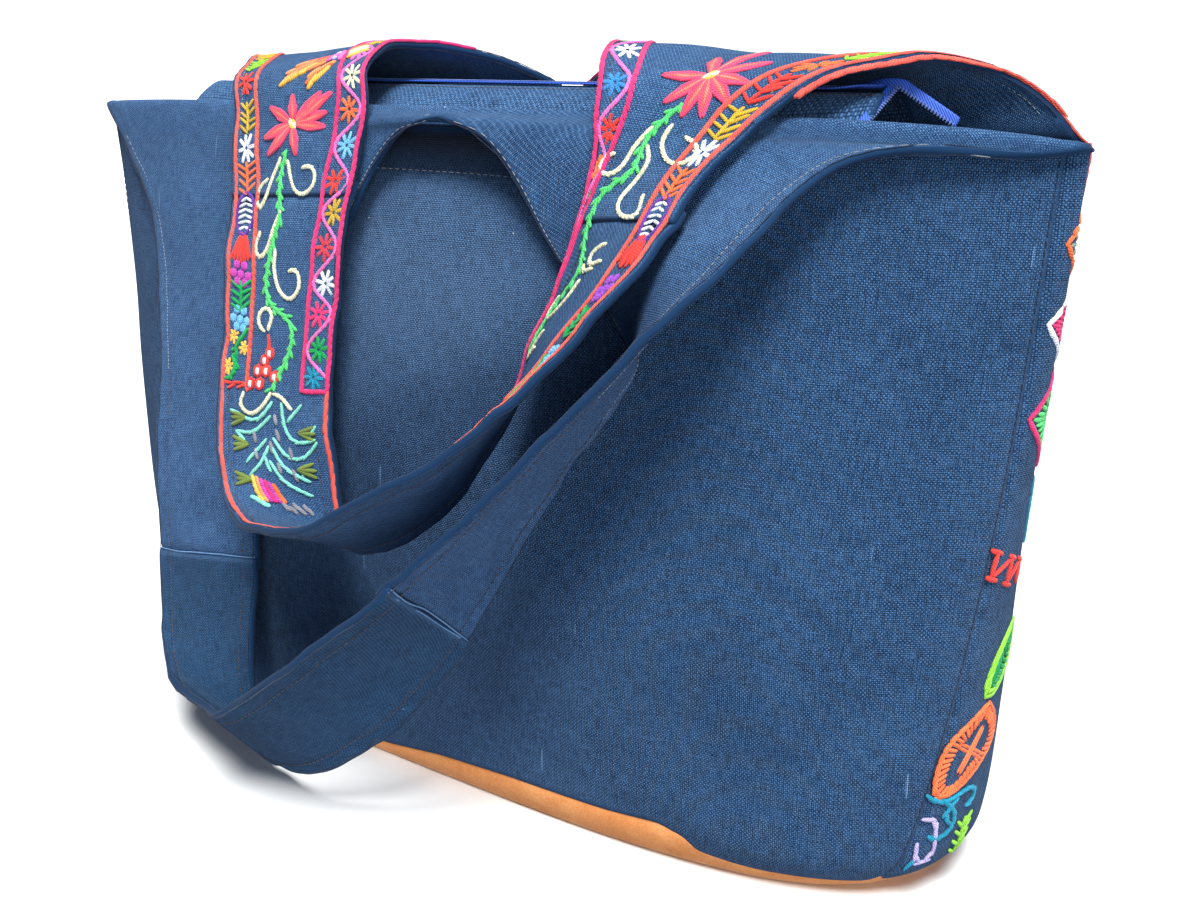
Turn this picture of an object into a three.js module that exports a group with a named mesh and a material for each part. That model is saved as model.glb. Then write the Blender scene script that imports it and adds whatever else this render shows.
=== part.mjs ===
// Embroidered shoulder bag: a navy canvas body on a suede base, with two wide handles that have
// flopped forward over its plain side. Millimetres, +Z up, +X to the right and -Y toward a viewer
// who faces the plain side. The origin is the centre of the base's resting face.
import * as THREE from "three";

// Driving dimensions
const HEIGHT = 280; // floor to the top edge of the panels
const CANVAS = 2.0; // body wall
const SUEDE = 2.4; // base wall
const HANDLE = 2.6; // doubled canvas of the yokes and straps
const TAPE = 1.2; // zip tape
const GAP = 0.3; // clearance between sewn pieces
const SEAM_GAP = 0.8; // clearance at the seams that run round a bend
const BASE_SEAM = 9; // height of the seam between suede and canvas
const NECK = 12; // x of the middle of both necklines
const YOKE_LEFT = -231; // ends of both yokes along the mouth
const YOKE_RIGHT = 238;
const FOLD_RISE = 5.6; // how far the front yoke stands above the panel before it folds forward
const FOLD_AT_ENDS = 0.3; // share of that rise left at the mouth's corners
const FOLD_FALL = 4; // how suddenly the rise drops toward the corners
const FOLD_OUT = 3.4; // stand-off at the top of that fold
const BRIDGE_LOW = 279; // lower edge of the front neckline at its middle
const BRIDGE_HIGH = 290; // upper edge of the back neckline at its middle
const ZIP_HEIGHT = 296; // the zip line stands like a low ridge above the mouth
const ZIP_LEFT = -172; // ends of the closed zip
const ZIP_RIGHT = 176;
// Placket: wall, distance inside the panel, distances below the mouth and the zip, and its crown
const PLACKET = { wall: 1.2, inset: 2.1, drop: 1, under: 1.5, crown: 3 };
const TAPE_WIDTH = 7;
const TAPE_OVERHANG = 1; // the tapes run this far past the plackets before they part
const ZIP_TAILS = { front: { x: 5, y: -9, z: -13 }, back: { x: 30, y: 1, z: -13 } }; // run of the free ends
const SLIDER = { x: 112, length: 14, width: 9, height: 5, taper: 0.6 };

// Number of steps the walls are divided into
const PANEL_STEPS = { across: 30, up: 14 };
const GUSSET_STEPS = { across: 6, up: 14 };
const HANDLE_STEPS = { across: 7, stride: 13, samples: 8 }; // stride in mm, samples for each table row
const BASE_STEPS = { around: 48, rings: [0, 0.45, 0.85, 1], rim: 4 };
const PLACKET_STEPS = { across: 4, along: 26 };
const TAPE_STEPS = { across: 2, tail: 4 };
const OUTLINE_POINTS = 240;
const WELD = 0.01; // points nearer than this are one point

// Horizontal sections of the body. width and depth are full sizes. flat and round set the outline,
// from a rounded rectangle at the base to a pinched lens at the mouth. lean moves the section in y and
// turn twists it, in degrees. gusset is half the side piece, measured along the outline.
const SECTIONS = [
  { z: 0, width: 398, depth: 118, flat: 3.3, round: 2.4, lean: 0, turn: 0, gusset: 34 },
  { z: 8, width: 426, depth: 126, flat: 3.4, round: 2.45, lean: 0, turn: 0, gusset: 34 },
  { z: 20, width: 444, depth: 130, flat: 3.5, round: 2.5, lean: 0, turn: 0, gusset: 33 },
  { z: 75, width: 455, depth: 131, flat: 3.4, round: 2.4, lean: -2, turn: 0.8, gusset: 24 },
  { z: 140, width: 464, depth: 124, flat: 3.0, round: 2.1, lean: -4.5, turn: 1.7, gusset: 14 },
  { z: 210, width: 478, depth: 102, flat: 2.5, round: 1.75, lean: -7, turn: 2.6, gusset: 7 },
  { z: HEIGHT, width: 490, depth: 72, flat: 2.0, round: 1.4, lean: -9, turn: 3.4, gusset: 4 },
];

// Profile of the front yoke's fold, as shares of its rise and its stand-off.
const FOLD = [
  { rise: 0, out: 0 },
  { rise: 0.62, out: 0.22 },
  { rise: 1, out: 1 },
  { rise: 0.55, out: 1.7 },
];

// Rows across a handle, from its left arm round the loop to its right arm. Each row runs from the
// outer edge (ox, oz, oo) to the inner edge (ix, iz, io): x, height and stand-off in front of the
// panel. over is 1 above the back panel, 0 above the front one. seam marks the rows of cross seams.
const FRONT_HANDLE = [
  { over: 0, ox: -219, oz: 269, oo: 5, ix: NECK, iz: BRIDGE_LOW, io: 6 },
  { over: 0, ox: -204, oz: 258, oo: 6, ix: -8, iz: 275, io: 6 },
  { over: 0, ox: -189, oz: 246, oo: 7, ix: -22, iz: 264, io: 6 },
  { over: 0, ox: -172, oz: 221, oo: 9, ix: -35, iz: 240, io: 7 },
  { over: 0, ox: -158, oz: 186, oo: 13, ix: -62, iz: 198, io: 7 },
  { over: 0, ox: -151, oz: 138, oo: 18, ix: -83, iz: 146, io: 7 },
  { over: 0, ox: -152, oz: 80, oo: 23, ix: -91, iz: 86, io: 8, seam: true },
  { over: 0, ox: -150, oz: 52, oo: 28, ix: -90, iz: 56, io: 14 },
  { over: 0, ox: -139, oz: 36, oo: 36, ix: -82, iz: 27, io: 26 },
  { over: 0, ox: -112, oz: 30, oo: 48, ix: -57, iz: 7, io: 40 },
  { over: 0, ox: -71, oz: 37, oo: 62, ix: -26, iz: 13, io: 46 },
  { over: 0, ox: -38, oz: 51, oo: 72, ix: 2, iz: 28, io: 45 },
  { over: 0, ox: -10, oz: 70, oo: 77, ix: 22, iz: 44, io: 40 },
  { over: 0, ox: 23, oz: 97, oo: 76, ix: 38, iz: 64, io: 32 },
  { over: 0, ox: 56, oz: 125, oo: 72, ix: 50, iz: 87, io: 24, seam: true },
  { over: 0, ox: 98, oz: 169, oo: 66, ix: 76, iz: 141, io: 12 },
  { over: 0, ox: 127, oz: 200, oo: 62, ix: 96, iz: 176, io: 8 },
  { over: 0, ox: 143, oz: 221, oo: 58, ix: 105, iz: 200, io: 7 },
  { over: 0, ox: 156, oz: 238, oo: 51, ix: 92, iz: 216, io: 6 },
  { over: 0, ox: 164, oz: 252, oo: 41, ix: 74, iz: 228, io: 6 },
  { over: 0, ox: 172, oz: 266, oo: 27, ix: 65, iz: 240, io: 6 },
  { over: 0, ox: 182, oz: 275, oo: 16, ix: 54, iz: 258, io: 6 },
  { over: 0, ox: 198, oz: 280, oo: 9, ix: 36, iz: 273, io: 6 },
  { over: 0, ox: 220, oz: 280, oo: 6, ix: NECK, iz: BRIDGE_LOW, io: 6 },
];
const BACK_HANDLE = [
  { over: 1, ox: -222, oz: 283, oo: 0, ix: NECK, iz: BRIDGE_HIGH, io: 0 },
  { over: 0.92, ox: -194, oz: 289, oo: 0, ix: 0, iz: 298, io: 0 },
  { over: 0.74, ox: -166, oz: 298, oo: 0, ix: -17, iz: 306, io: 0 },
  { over: 0.48, ox: -142, oz: 302, oo: 0, ix: -34, iz: 311, io: 0 },
  { over: 0.2, ox: -125, oz: 302, oo: 0, ix: -36, iz: 310, io: 2 },
  { over: 0, ox: -116, oz: 297, oo: 4, ix: -29, iz: 302, io: 6 },
  { over: 0, ox: -109, oz: 285, oo: 12, ix: -24, iz: 288, io: 13 },
  { over: 0, ox: -102, oz: 247, oo: 16, ix: -28, iz: 252, io: 14, seam: true },
  { over: 0, ox: -98, oz: 205, oo: 19, ix: -31, iz: 210, io: 14 },
  { over: 0, ox: -97, oz: 161, oo: 22, ix: -32, iz: 168, io: 15 },
  { over: 0, ox: -90, oz: 134, oo: 27, ix: -27, iz: 141, io: 17 },
  { over: 0, ox: -72, oz: 121, oo: 38, ix: -20, iz: 120, io: 20 },
  { over: 0, ox: -40, oz: 124, oo: 54, ix: -5, iz: 112, io: 24 },
  { over: 0, ox: 0, oz: 134, oo: 66, ix: 10, iz: 115, io: 27 },
  { over: 0, ox: 40, oz: 153, oo: 70, ix: 28, iz: 126, io: 26 },
  { over: 0, ox: 76, oz: 174, oo: 66, ix: 45, iz: 146, io: 21 },
  { over: 0, ox: 97, oz: 196, oo: 61, ix: 62, iz: 180, io: 17 },
  { over: 0, ox: 110, oz: 210, oo: 56, ix: 67, iz: 202, io: 16 },
  { over: 0, ox: 119, oz: 223, oo: 51, ix: 74, iz: 217, io: 15, seam: true },
  { over: 0, ox: 130, oz: 247, oo: 40, ix: 81, iz: 241, io: 14 },
  { over: 0, ox: 134, oz: 266, oo: 27, ix: 85, iz: 264, io: 14 },
  { over: 0, ox: 148, oz: 286, oo: 14, ix: 84, iz: 287, io: 13 },
  { over: 0, ox: 160, oz: 298, oo: 5, ix: 80, iz: 301, io: 6 },
  { over: 0.2, ox: 176, oz: 304, oo: 1, ix: 72, iz: 309, io: 2 },
  { over: 0.48, ox: 194, oz: 305, oo: 0, ix: 62, iz: 310, io: 0 },
  { over: 0.74, ox: 210, oz: 302, oo: 0, ix: 47, iz: 305, io: 0 },
  { over: 0.92, ox: 224, oz: 295, oo: 0, ix: 28, iz: 298, io: 0 },
  { over: 1, ox: 234, oz: 287, oo: 0, ix: NECK, iz: BRIDGE_HIGH, io: 0 },
];

// Value of one column of a table at a place along its key column, on a smooth curve through the rows.
function along(rows, key, place, column) {
  const last = rows.length - 1;
  let i = 0;
  while (i < last - 1 && place > rows[i + 1][key]) i++;
  const slope = (a, b) => (rows[b][column] - rows[a][column]) / (rows[b][key] - rows[a][key]);
  const step = rows[i + 1][key] - rows[i][key];
  const start = slope(Math.max(i - 1, 0), i + 1) * step;
  const end = slope(i, Math.min(i + 2, last)) * step;
  const t = Math.min(1, Math.max(0, (place - rows[i][key]) / step));
  const from = rows[i][column] * (1 + 2 * t) * (1 - t) ** 2 + start * t * (1 - t) ** 2;
  return from + rows[i + 1][column] * (3 - 2 * t) * t * t + end * (t - 1) * t * t;
}

// The body's section at a height, with every column of the table.
function sectionAt(z) {
  const height = Math.min(HEIGHT, Math.max(0, z));
  const section = { z };
  for (const column of Object.keys(SECTIONS[0]).slice(1)) {
    section[column] = along(SECTIONS, "z", height, column);
  }
  return section;
}

// Depth of the front half of a section at a share of its half width, as a positive number.
function halfDepth(section, share) {
  const edge = 1 - Math.min(1, Math.abs(share)) ** section.flat;
  return (section.depth / 2) * Math.max(0, edge) ** (1 / section.round);
}

// y of the front (side -1) or back (side 1) of the body at a place.
function bodyY(side, x, z) {
  const s = sectionAt(z);
  const skew = x * Math.sin(THREE.MathUtils.degToRad(s.turn));
  return s.lean + skew + side * halfDepth(s, (2 * x) / s.width);
}

// One half of a section's outline as points from its right end to its left end, with distances.
function halfOutline(side, z) {
  const s = sectionAt(z);
  const points = [];
  let length = 0;
  for (let i = 0; i <= OUTLINE_POINTS; i++) {
    const share = Math.cos((Math.PI * i) / OUTLINE_POINTS);
    const point = new THREE.Vector3((share * s.width) / 2, side * halfDepth(s, share), z);
    point.applyAxisAngle(new THREE.Vector3(0, 0, 1), THREE.MathUtils.degToRad(s.turn));
    point.y += s.lean;
    if (i) length += point.distanceTo(points[i - 1].point);
    points.push({ point, length });
  }
  return points;
}

// Point on an outline at a distance from its right end.
function atDistance(outline, distance) {
  const i = Math.max(1, outline.findIndex((p) => p.length >= distance));
  const [a, b] = [outline[i - 1], outline[i]];
  return a.point.clone().lerp(b.point, (distance - a.length) / (b.length - a.length));
}

// A closed wall around a middle surface given as patches, each a grid of points. Patches are joined
// where their points coincide, and the free edges get a rim.
function clothWall(name, material, thickness, patches) {
  const points = [];
  const seen = new Map();
  const indexOf = (p) => {
    const key = [p.x, p.y, p.z].map((v) => Math.round(v / WELD)).join();
    if (!seen.has(key)) {
      seen.set(key, points.length);
      points.push(p);
    }
    return seen.get(key);
  };
  const faces = [];
  for (const grid of patches) {
    for (let r = 1; r < grid.length; r++) {
      for (let c = 1; c < grid[r].length; c++) {
        const corners = [grid[r - 1][c - 1], grid[r - 1][c], grid[r][c], grid[r][c - 1]].map(indexOf);
        for (const face of [[0, 1, 2], [0, 2, 3]].map((f) => f.map((k) => corners[k]))) {
          if (new Set(face).size === 3) faces.push(face);
        }
      }
    }
  }
  const normals = points.map(() => new THREE.Vector3());
  const edges = new Map();
  for (const [a, b, c] of faces) {
    const ab = points[b].clone().sub(points[a]);
    const normal = ab.cross(points[c].clone().sub(points[a]));
    for (const k of [a, b, c]) normals[k].add(normal);
    for (const [p, q] of [[a, b], [b, c], [c, a]]) edges.set(p + "," + q, [p, q]);
  }
  const count = points.length;
  const triangles = [];
  for (const [a, b, c] of faces) triangles.push(a, b, c, count + c, count + b, count + a);
  for (const [p, q] of edges.values()) {
    if (!edges.has(q + "," + p)) triangles.push(q, p, count + p, q, count + p, count + q);
  }
  const half = thickness / 2;
  const offset = (sign) => points.flatMap((p, i) =>
    p.clone().addScaledVector(normals[i].clone().normalize(), sign * half).toArray());
  const geometry = new THREE.BufferGeometry();
  const vertices = [...offset(1), ...offset(-1)];
  geometry.setAttribute("position", new THREE.Float32BufferAttribute(vertices, 3));
  geometry.setIndex(triangles);
  geometry.computeVertexNormals();
  const mesh = new THREE.Mesh(geometry, material);
  mesh.name = name;
  return mesh;
}

// Evenly spaced numbers from a to b.
const steps = (a, b, count) => Array.from({ length: count + 1 }, (_, i) => a + ((b - a) * i) / count);

// Front or back panel: from the base seam to the mouth, and from gusset seam to gusset seam.
function panel(name, side, material) {
  const heights = steps(BASE_SEAM + SEAM_GAP, HEIGHT, PANEL_STEPS.up);
  const grid = heights.map((z) => {
    const outline = halfOutline(side, z);
    const seam = sectionAt(z).gusset + SEAM_GAP / 2;
    const end = outline[OUTLINE_POINTS].length - seam;
    return steps(seam, end, PANEL_STEPS.across).map((d) => atDistance(outline, d));
  });
  return clothWall(name, material, CANVAS, [side < 0 ? grid : grid.reverse()]);
}

// Side gusset at the right (end 1) or left (end -1), a strip around the narrow end of each section.
function gusset(name, end, material) {
  const heights = steps(BASE_SEAM + SEAM_GAP, HEIGHT, GUSSET_STEPS.up);
  const grid = heights.map((z) => {
    const reach = sectionAt(z).gusset - SEAM_GAP / 2;
    return steps(-reach, reach, GUSSET_STEPS.across).map((d) => {
      const outline = halfOutline(d < 0 ? -1 : 1, z);
      const length = outline[OUTLINE_POINTS].length;
      return atDistance(outline, end > 0 ? Math.abs(d) : length - Math.abs(d));
    });
  });
  return clothWall(name, material, CANVAS, [end < 0 ? grid : grid.reverse()]);
}

// Suede base: a flat floor whose rim turns up to the canvas.
function base(material) {
  const ring = (z, scale, lift) => {
    const [front, back] = [-1, 1].map((side) => halfOutline(side, z));
    return steps(0, 2, BASE_STEPS.around).map((turn) => {
      const outline = turn <= 1 ? front : back;
      const share = turn <= 1 ? turn : 2 - turn;
      const point = atDistance(outline, share * outline[OUTLINE_POINTS].length);
      return new THREE.Vector3(point.x * scale, point.y * scale, lift);
    });
  };
  const floor = BASE_STEPS.rings.map((scale) => ring(0, scale, SUEDE / 2));
  const rim = steps(0, BASE_SEAM, BASE_STEPS.rim).slice(1).map((z) => ring(z, 1, Math.max(z, SUEDE)));
  return clothWall("base", material, SUEDE, [[...floor, ...rim]]);
}

// A point of a handle in its own coordinates: x, height, stand-off and place over the mouth.
function handlePoint(x, z, off, over) {
  const y = THREE.MathUtils.lerp(bodyY(-1, x, z), bodyY(1, x, z), over);
  return new THREE.Vector3(x, y - off, z);
}

// Rows of points across a handle between two places along it, counted in table rows.
function handleRows(rows, from, to) {
  const table = rows.map((row, index) => ({ index, ...row }));
  const point = (place, share) => {
    const at = (column) => along(table, "index", place, column);
    const mix = (a, b) => THREE.MathUtils.lerp(at(a), at(b), share);
    return handlePoint(mix("ox", "ix"), mix("oz", "iz"), mix("oo", "io"), at("over"));
  };
  const places = steps(from, to, Math.round((to - from) * HANDLE_STEPS.samples));
  let length = 0;
  const travelled = places.map((place, i) => {
    if (i) length += point(place, 0.5).distanceTo(point(places[i - 1], 0.5));
    return length;
  });
  const count = Math.max(2, Math.round(length / HANDLE_STEPS.stride));
  return steps(0, length, count).map((goal) => {
    const i = Math.max(1, travelled.findIndex((d) => d >= goal - 1e-9));
    const part = (goal - travelled[i - 1]) / (travelled[i] - travelled[i - 1]);
    const place = THREE.MathUtils.lerp(places[i - 1], places[i], part);
    return steps(0, 1, HANDLE_STEPS.across).map((share) => point(place, share));
  });
}

// Rows that carry a yoke from its panel's top edge to the first row of its handle's table.
function rootRows(first, side) {
  const profile = side < 0 ? FOLD : FOLD.slice(0, 1);
  const end = first.ox < 0 ? YOKE_LEFT : YOKE_RIGHT;
  return profile.map(({ rise, out }) => steps(0, 1, HANDLE_STEPS.across).map((share) => {
    const x = THREE.MathUtils.lerp(end, NECK, share);
    const middle = 1 - ((x - NECK) / (end - NECK)) ** FOLD_FALL;
    const up = rise * FOLD_RISE * THREE.MathUtils.lerp(FOLD_AT_ENDS, 1, middle);
    return handlePoint(x, HEIGHT + SEAM_GAP + up, out * FOLD_OUT, side < 0 ? 0 : 1);
  }));
}

// The two pieces of a handle: its yoke with both arms, and the strap between the cross seams.
function handle(names, rows, side, material) {
  const [left, right] = rows.flatMap((row, i) => (row.seam ? [i] : []));
  const clear = GAP / HANDLE_STEPS.stride;
  const end = rows.length - 1;
  const leftArm = [...rootRows(rows[0], side), ...handleRows(rows, 0, left - clear)];
  const rightArm = [...handleRows(rows, right + clear, end), ...rootRows(rows[end], side).reverse()];
  return [
    clothWall(names[0], material, HANDLE, [leftArm, rightArm]),
    clothWall(names[1], material, HANDLE, [handleRows(rows, left, right)]),
  ];
}

// Middle of the mouth at a place along it.
const mouthMiddle = (x) => (bodyY(-1, x, HEIGHT) + bodyY(1, x, HEIGHT)) / 2;

// Canvas strip from inside a panel's top edge up to the zip.
function placket(name, side, material) {
  const grid = steps(ZIP_LEFT, ZIP_RIGHT, PLACKET_STEPS.along).map((x) => {
    const wallY = bodyY(side, x, HEIGHT) - side * PLACKET.inset;
    const outer = new THREE.Vector3(x, wallY, HEIGHT - PLACKET.drop);
    const inner = new THREE.Vector3(x, mouthMiddle(x) + side * TAPE_WIDTH, ZIP_HEIGHT - PLACKET.under);
    return steps(0, 1, PLACKET_STEPS.across).map((share) => {
      const point = outer.clone().lerp(inner, share);
      point.z += 4 * share * (1 - share) * PLACKET.crown;
      return point;
    });
  });
  return clothWall(name, material, PLACKET.wall, [side < 0 ? grid.reverse() : grid]);
}

// Zip tape beside the zip line, whose free end drops into the open end of the mouth.
function zipTape(name, side, material) {
  const tail = side < 0 ? ZIP_TAILS.front : ZIP_TAILS.back;
  const end = ZIP_RIGHT + TAPE_OVERHANG;
  const places = [...steps(ZIP_LEFT, end, PLACKET_STEPS.along).map((x) => [x, 0]),
    ...steps(0, 1, TAPE_STEPS.tail).slice(1).map((share) => [end, share])];
  const widths = steps(GAP, TAPE_WIDTH - GAP, TAPE_STEPS.across);
  const grid = places.map(([x, share]) => widths.map((across) => {
    const point = new THREE.Vector3(x, mouthMiddle(x) + side * across, ZIP_HEIGHT);
    return point.add(new THREE.Vector3(tail.x, tail.y, tail.z).multiplyScalar(share));
  }));
  return clothWall(name, material, TAPE, [side < 0 ? grid.reverse() : grid]);
}

// Plain slider astride the zip line.
function slider(material) {
  const outline = new THREE.Shape();
  const [half, end] = [SLIDER.width / 2, SLIDER.length / 2];
  outline.moveTo(-end, -half * SLIDER.taper);
  outline.lineTo(end, -half);
  outline.lineTo(end, half);
  outline.lineTo(-end, half * SLIDER.taper);
  outline.closePath();
  const geometry = new THREE.ExtrudeGeometry(outline, { depth: SLIDER.height, bevelEnabled: false });
  const mesh = new THREE.Mesh(geometry, material);
  mesh.name = "zip_slider";
  mesh.position.set(SLIDER.x, mouthMiddle(SLIDER.x), ZIP_HEIGHT + TAPE / 2 + GAP);
  return mesh;
}

const cloth = (color, roughness) => new THREE.MeshStandardMaterial({ color, roughness, metalness: 0 });
const navy = cloth(0x24395c, 0.9);
const suede = cloth(0xb9793f, 0.95);
const violet = cloth(0x2b3a86, 0.7);
const metal = new THREE.MeshStandardMaterial({ color: 0x8f8a80, roughness: 0.4, metalness: 0.9 });

const bag = new THREE.Group();
bag.add(panel("front_panel", -1, navy), panel("back_panel", 1, navy));
bag.add(gusset("side_gusset_left", -1, navy), gusset("side_gusset_right", 1, navy));
bag.add(base(suede));
bag.add(...handle(["front_yoke", "front_strap"], FRONT_HANDLE, -1, navy));
bag.add(...handle(["back_yoke", "back_strap"], BACK_HANDLE, 1, navy));
bag.add(placket("zip_placket_front", -1, navy), placket("zip_placket_back", 1, navy));
bag.add(zipTape("zip_tape_front", -1, violet), zipTape("zip_tape_back", 1, violet));
bag.add(slider(metal));

export default bag;
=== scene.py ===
"""Looks of an embroidered shoulder bag: canvas, suede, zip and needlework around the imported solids.

Lengths in the tables are millimetres. The plain side faces -Y, +X is to its right and +Z is up.
"""

import logging
import math
from dataclasses import dataclass, field
from enum import Enum
from functools import partial
from typing import Any, Callable, NamedTuple, Sequence

import bpy
import numpy as np
from mathutils import Matrix, Vector


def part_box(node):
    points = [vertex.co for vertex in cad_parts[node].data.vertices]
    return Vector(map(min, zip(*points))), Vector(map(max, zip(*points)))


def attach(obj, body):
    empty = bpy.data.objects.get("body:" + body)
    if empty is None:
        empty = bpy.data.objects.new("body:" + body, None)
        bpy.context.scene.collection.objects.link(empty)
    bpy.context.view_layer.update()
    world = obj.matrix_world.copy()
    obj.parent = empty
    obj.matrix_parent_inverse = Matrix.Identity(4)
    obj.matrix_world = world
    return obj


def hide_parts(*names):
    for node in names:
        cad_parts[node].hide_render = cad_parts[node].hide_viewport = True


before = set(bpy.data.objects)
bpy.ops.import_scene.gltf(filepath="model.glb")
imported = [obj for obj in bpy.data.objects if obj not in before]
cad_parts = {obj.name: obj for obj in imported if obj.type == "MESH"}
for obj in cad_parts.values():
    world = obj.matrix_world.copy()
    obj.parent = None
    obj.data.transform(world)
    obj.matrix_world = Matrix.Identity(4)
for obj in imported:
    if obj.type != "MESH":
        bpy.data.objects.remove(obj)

LOG = logging.getLogger("embroidered_bag")
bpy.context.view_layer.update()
MM = 0.001
ROOT = "root"
WAVE_PERIOD = math.pi / 10  # a wave texture of scale 1 repeats after this many units
FAR = 99.0  # distance given to points that are near no hem

Array = np.ndarray
Material = bpy.types.Material
Piece = bpy.types.Object
Pair = tuple[float, float]
Path = Sequence[Sequence[float]]
Laid = tuple[Array, Array]  # points and normals
Ground = Callable[[Array, Array], Laid]  # lays flat coordinates on cloth


class Side(Enum):
    """The bag's plain side, toward the viewer, and the other side."""

    FRONT = -1
    BACK = 1


class End(Enum):
    """The two narrow ends of the bag."""

    LEFT = -1
    RIGHT = 1


class Edge(Enum):
    """The edge of a handle from which a distance across it counts."""

    OUTER = "outer"
    INNER = "inner"
    MIDDLE = "middle"


class Yarn(Enum):
    """Colours of the embroidery yarn and the sewing thread, and of stitches that paint the shade of hem
    folds and the highlights of the zip coil.
    """

    CORAL = "f2695c"
    HOT_PINK = "ea3f7c"
    ROSE = "f7567c"
    SALMON = "f98a84"
    PINK = "f47cc0"
    PEACH = "f9a06c"
    CREAM = "eae8c4"
    WHITE = "e9eef6"
    GREEN = "5fd67c"
    LEAF = "16a85a"
    LIME = "9be04a"
    OLIVE = "7c8f45"
    MINT = "8fe3cc"
    TEAL = "1d97b5"
    SKY = "7cc2ea"
    BLUE = "3f8fd0"
    PURPLE = "6a3fa0"
    VIOLET = "a355c8"
    MAGENTA = "c94fb2"
    RED = "ee4840"
    CRIMSON = "d9435a"
    ORANGE = "fb7d4d"
    MUSTARD = "d5b03c"
    YELLOW = "f7c35a"
    LAVENDER = "c3b6ea"
    GREY = "8f9099"
    SAGE = "9fae9a"
    NAVY_THREAD = "22344f"
    FOLD_SHADE = "14294a"
    FRAYED_EDGE = "6f9ccb"
    # pale blue that paints the highlights of a dark navy zip coil
    ZIP_COIL = "7b8fca"
    PALE_THREAD = "a9abad"
    BROWN_THREAD = "5b4a44"


def linear(code: str) -> tuple[float, float, float, float]:
    """Turn an sRGB hex colour into linear light.

    Args:
        code: Six hex digits.

    Returns:
        Red, green, blue and alpha.
    """
    parts = [int(code[i:i + 2], 16) / 255 for i in (0, 2, 4)]
    light = [p / 12.92 if p <= 0.04045 else ((p + 0.055) / 1.055) ** 2.4 for p in parts]
    return (light[0], light[1], light[2], 1.0)


def feed(node: bpy.types.Node, inputs: dict[Any, Any]) -> None:
    """Give a node's inputs their values or their links from output sockets."""
    for key, value in inputs.items():
        if isinstance(value, bpy.types.NodeSocket):
            node.id_data.links.new(value, node.inputs[key])
        else:
            node.inputs[key].default_value = value


def add_node(tree: bpy.types.NodeTree, kind: str, inputs: dict[Any, Any], out: Any = 0,
             stops: Sequence[tuple[float, str]] = (), **settings: Any) -> bpy.types.NodeSocket:
    """Add a shader node.

    Args:
        tree: The node tree.
        kind: The node's type name, without its prefix.
        inputs: A value or an output socket for each input, by name or number.
        out: The output that is wanted.
        stops: Position and sRGB hex colour of each stop of a colour ramp.
        settings: Properties of the node.

    Returns:
        The output.
    """
    made = tree.nodes.new(f"ShaderNode{kind}")
    for key, value in settings.items():
        setattr(made, key, value)
    feed(made, inputs)
    if stops:
        elements = made.color_ramp.elements
        while len(elements) < len(stops):
            elements.new(0.5)
        for element, (position, code) in zip(elements, stops):
            element.position, element.color = position, linear(code)
    return made.outputs[out]


def start_material(name: str) -> tuple[Material, Callable[..., bpy.types.NodeSocket], bpy.types.Node]:
    """Make a material; gives it, what adds its nodes, and its shader."""
    material = bpy.data.materials.new(name)
    material.use_nodes = True
    tree = material.node_tree
    return material, partial(add_node, tree), tree.nodes["Principled BSDF"]


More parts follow.
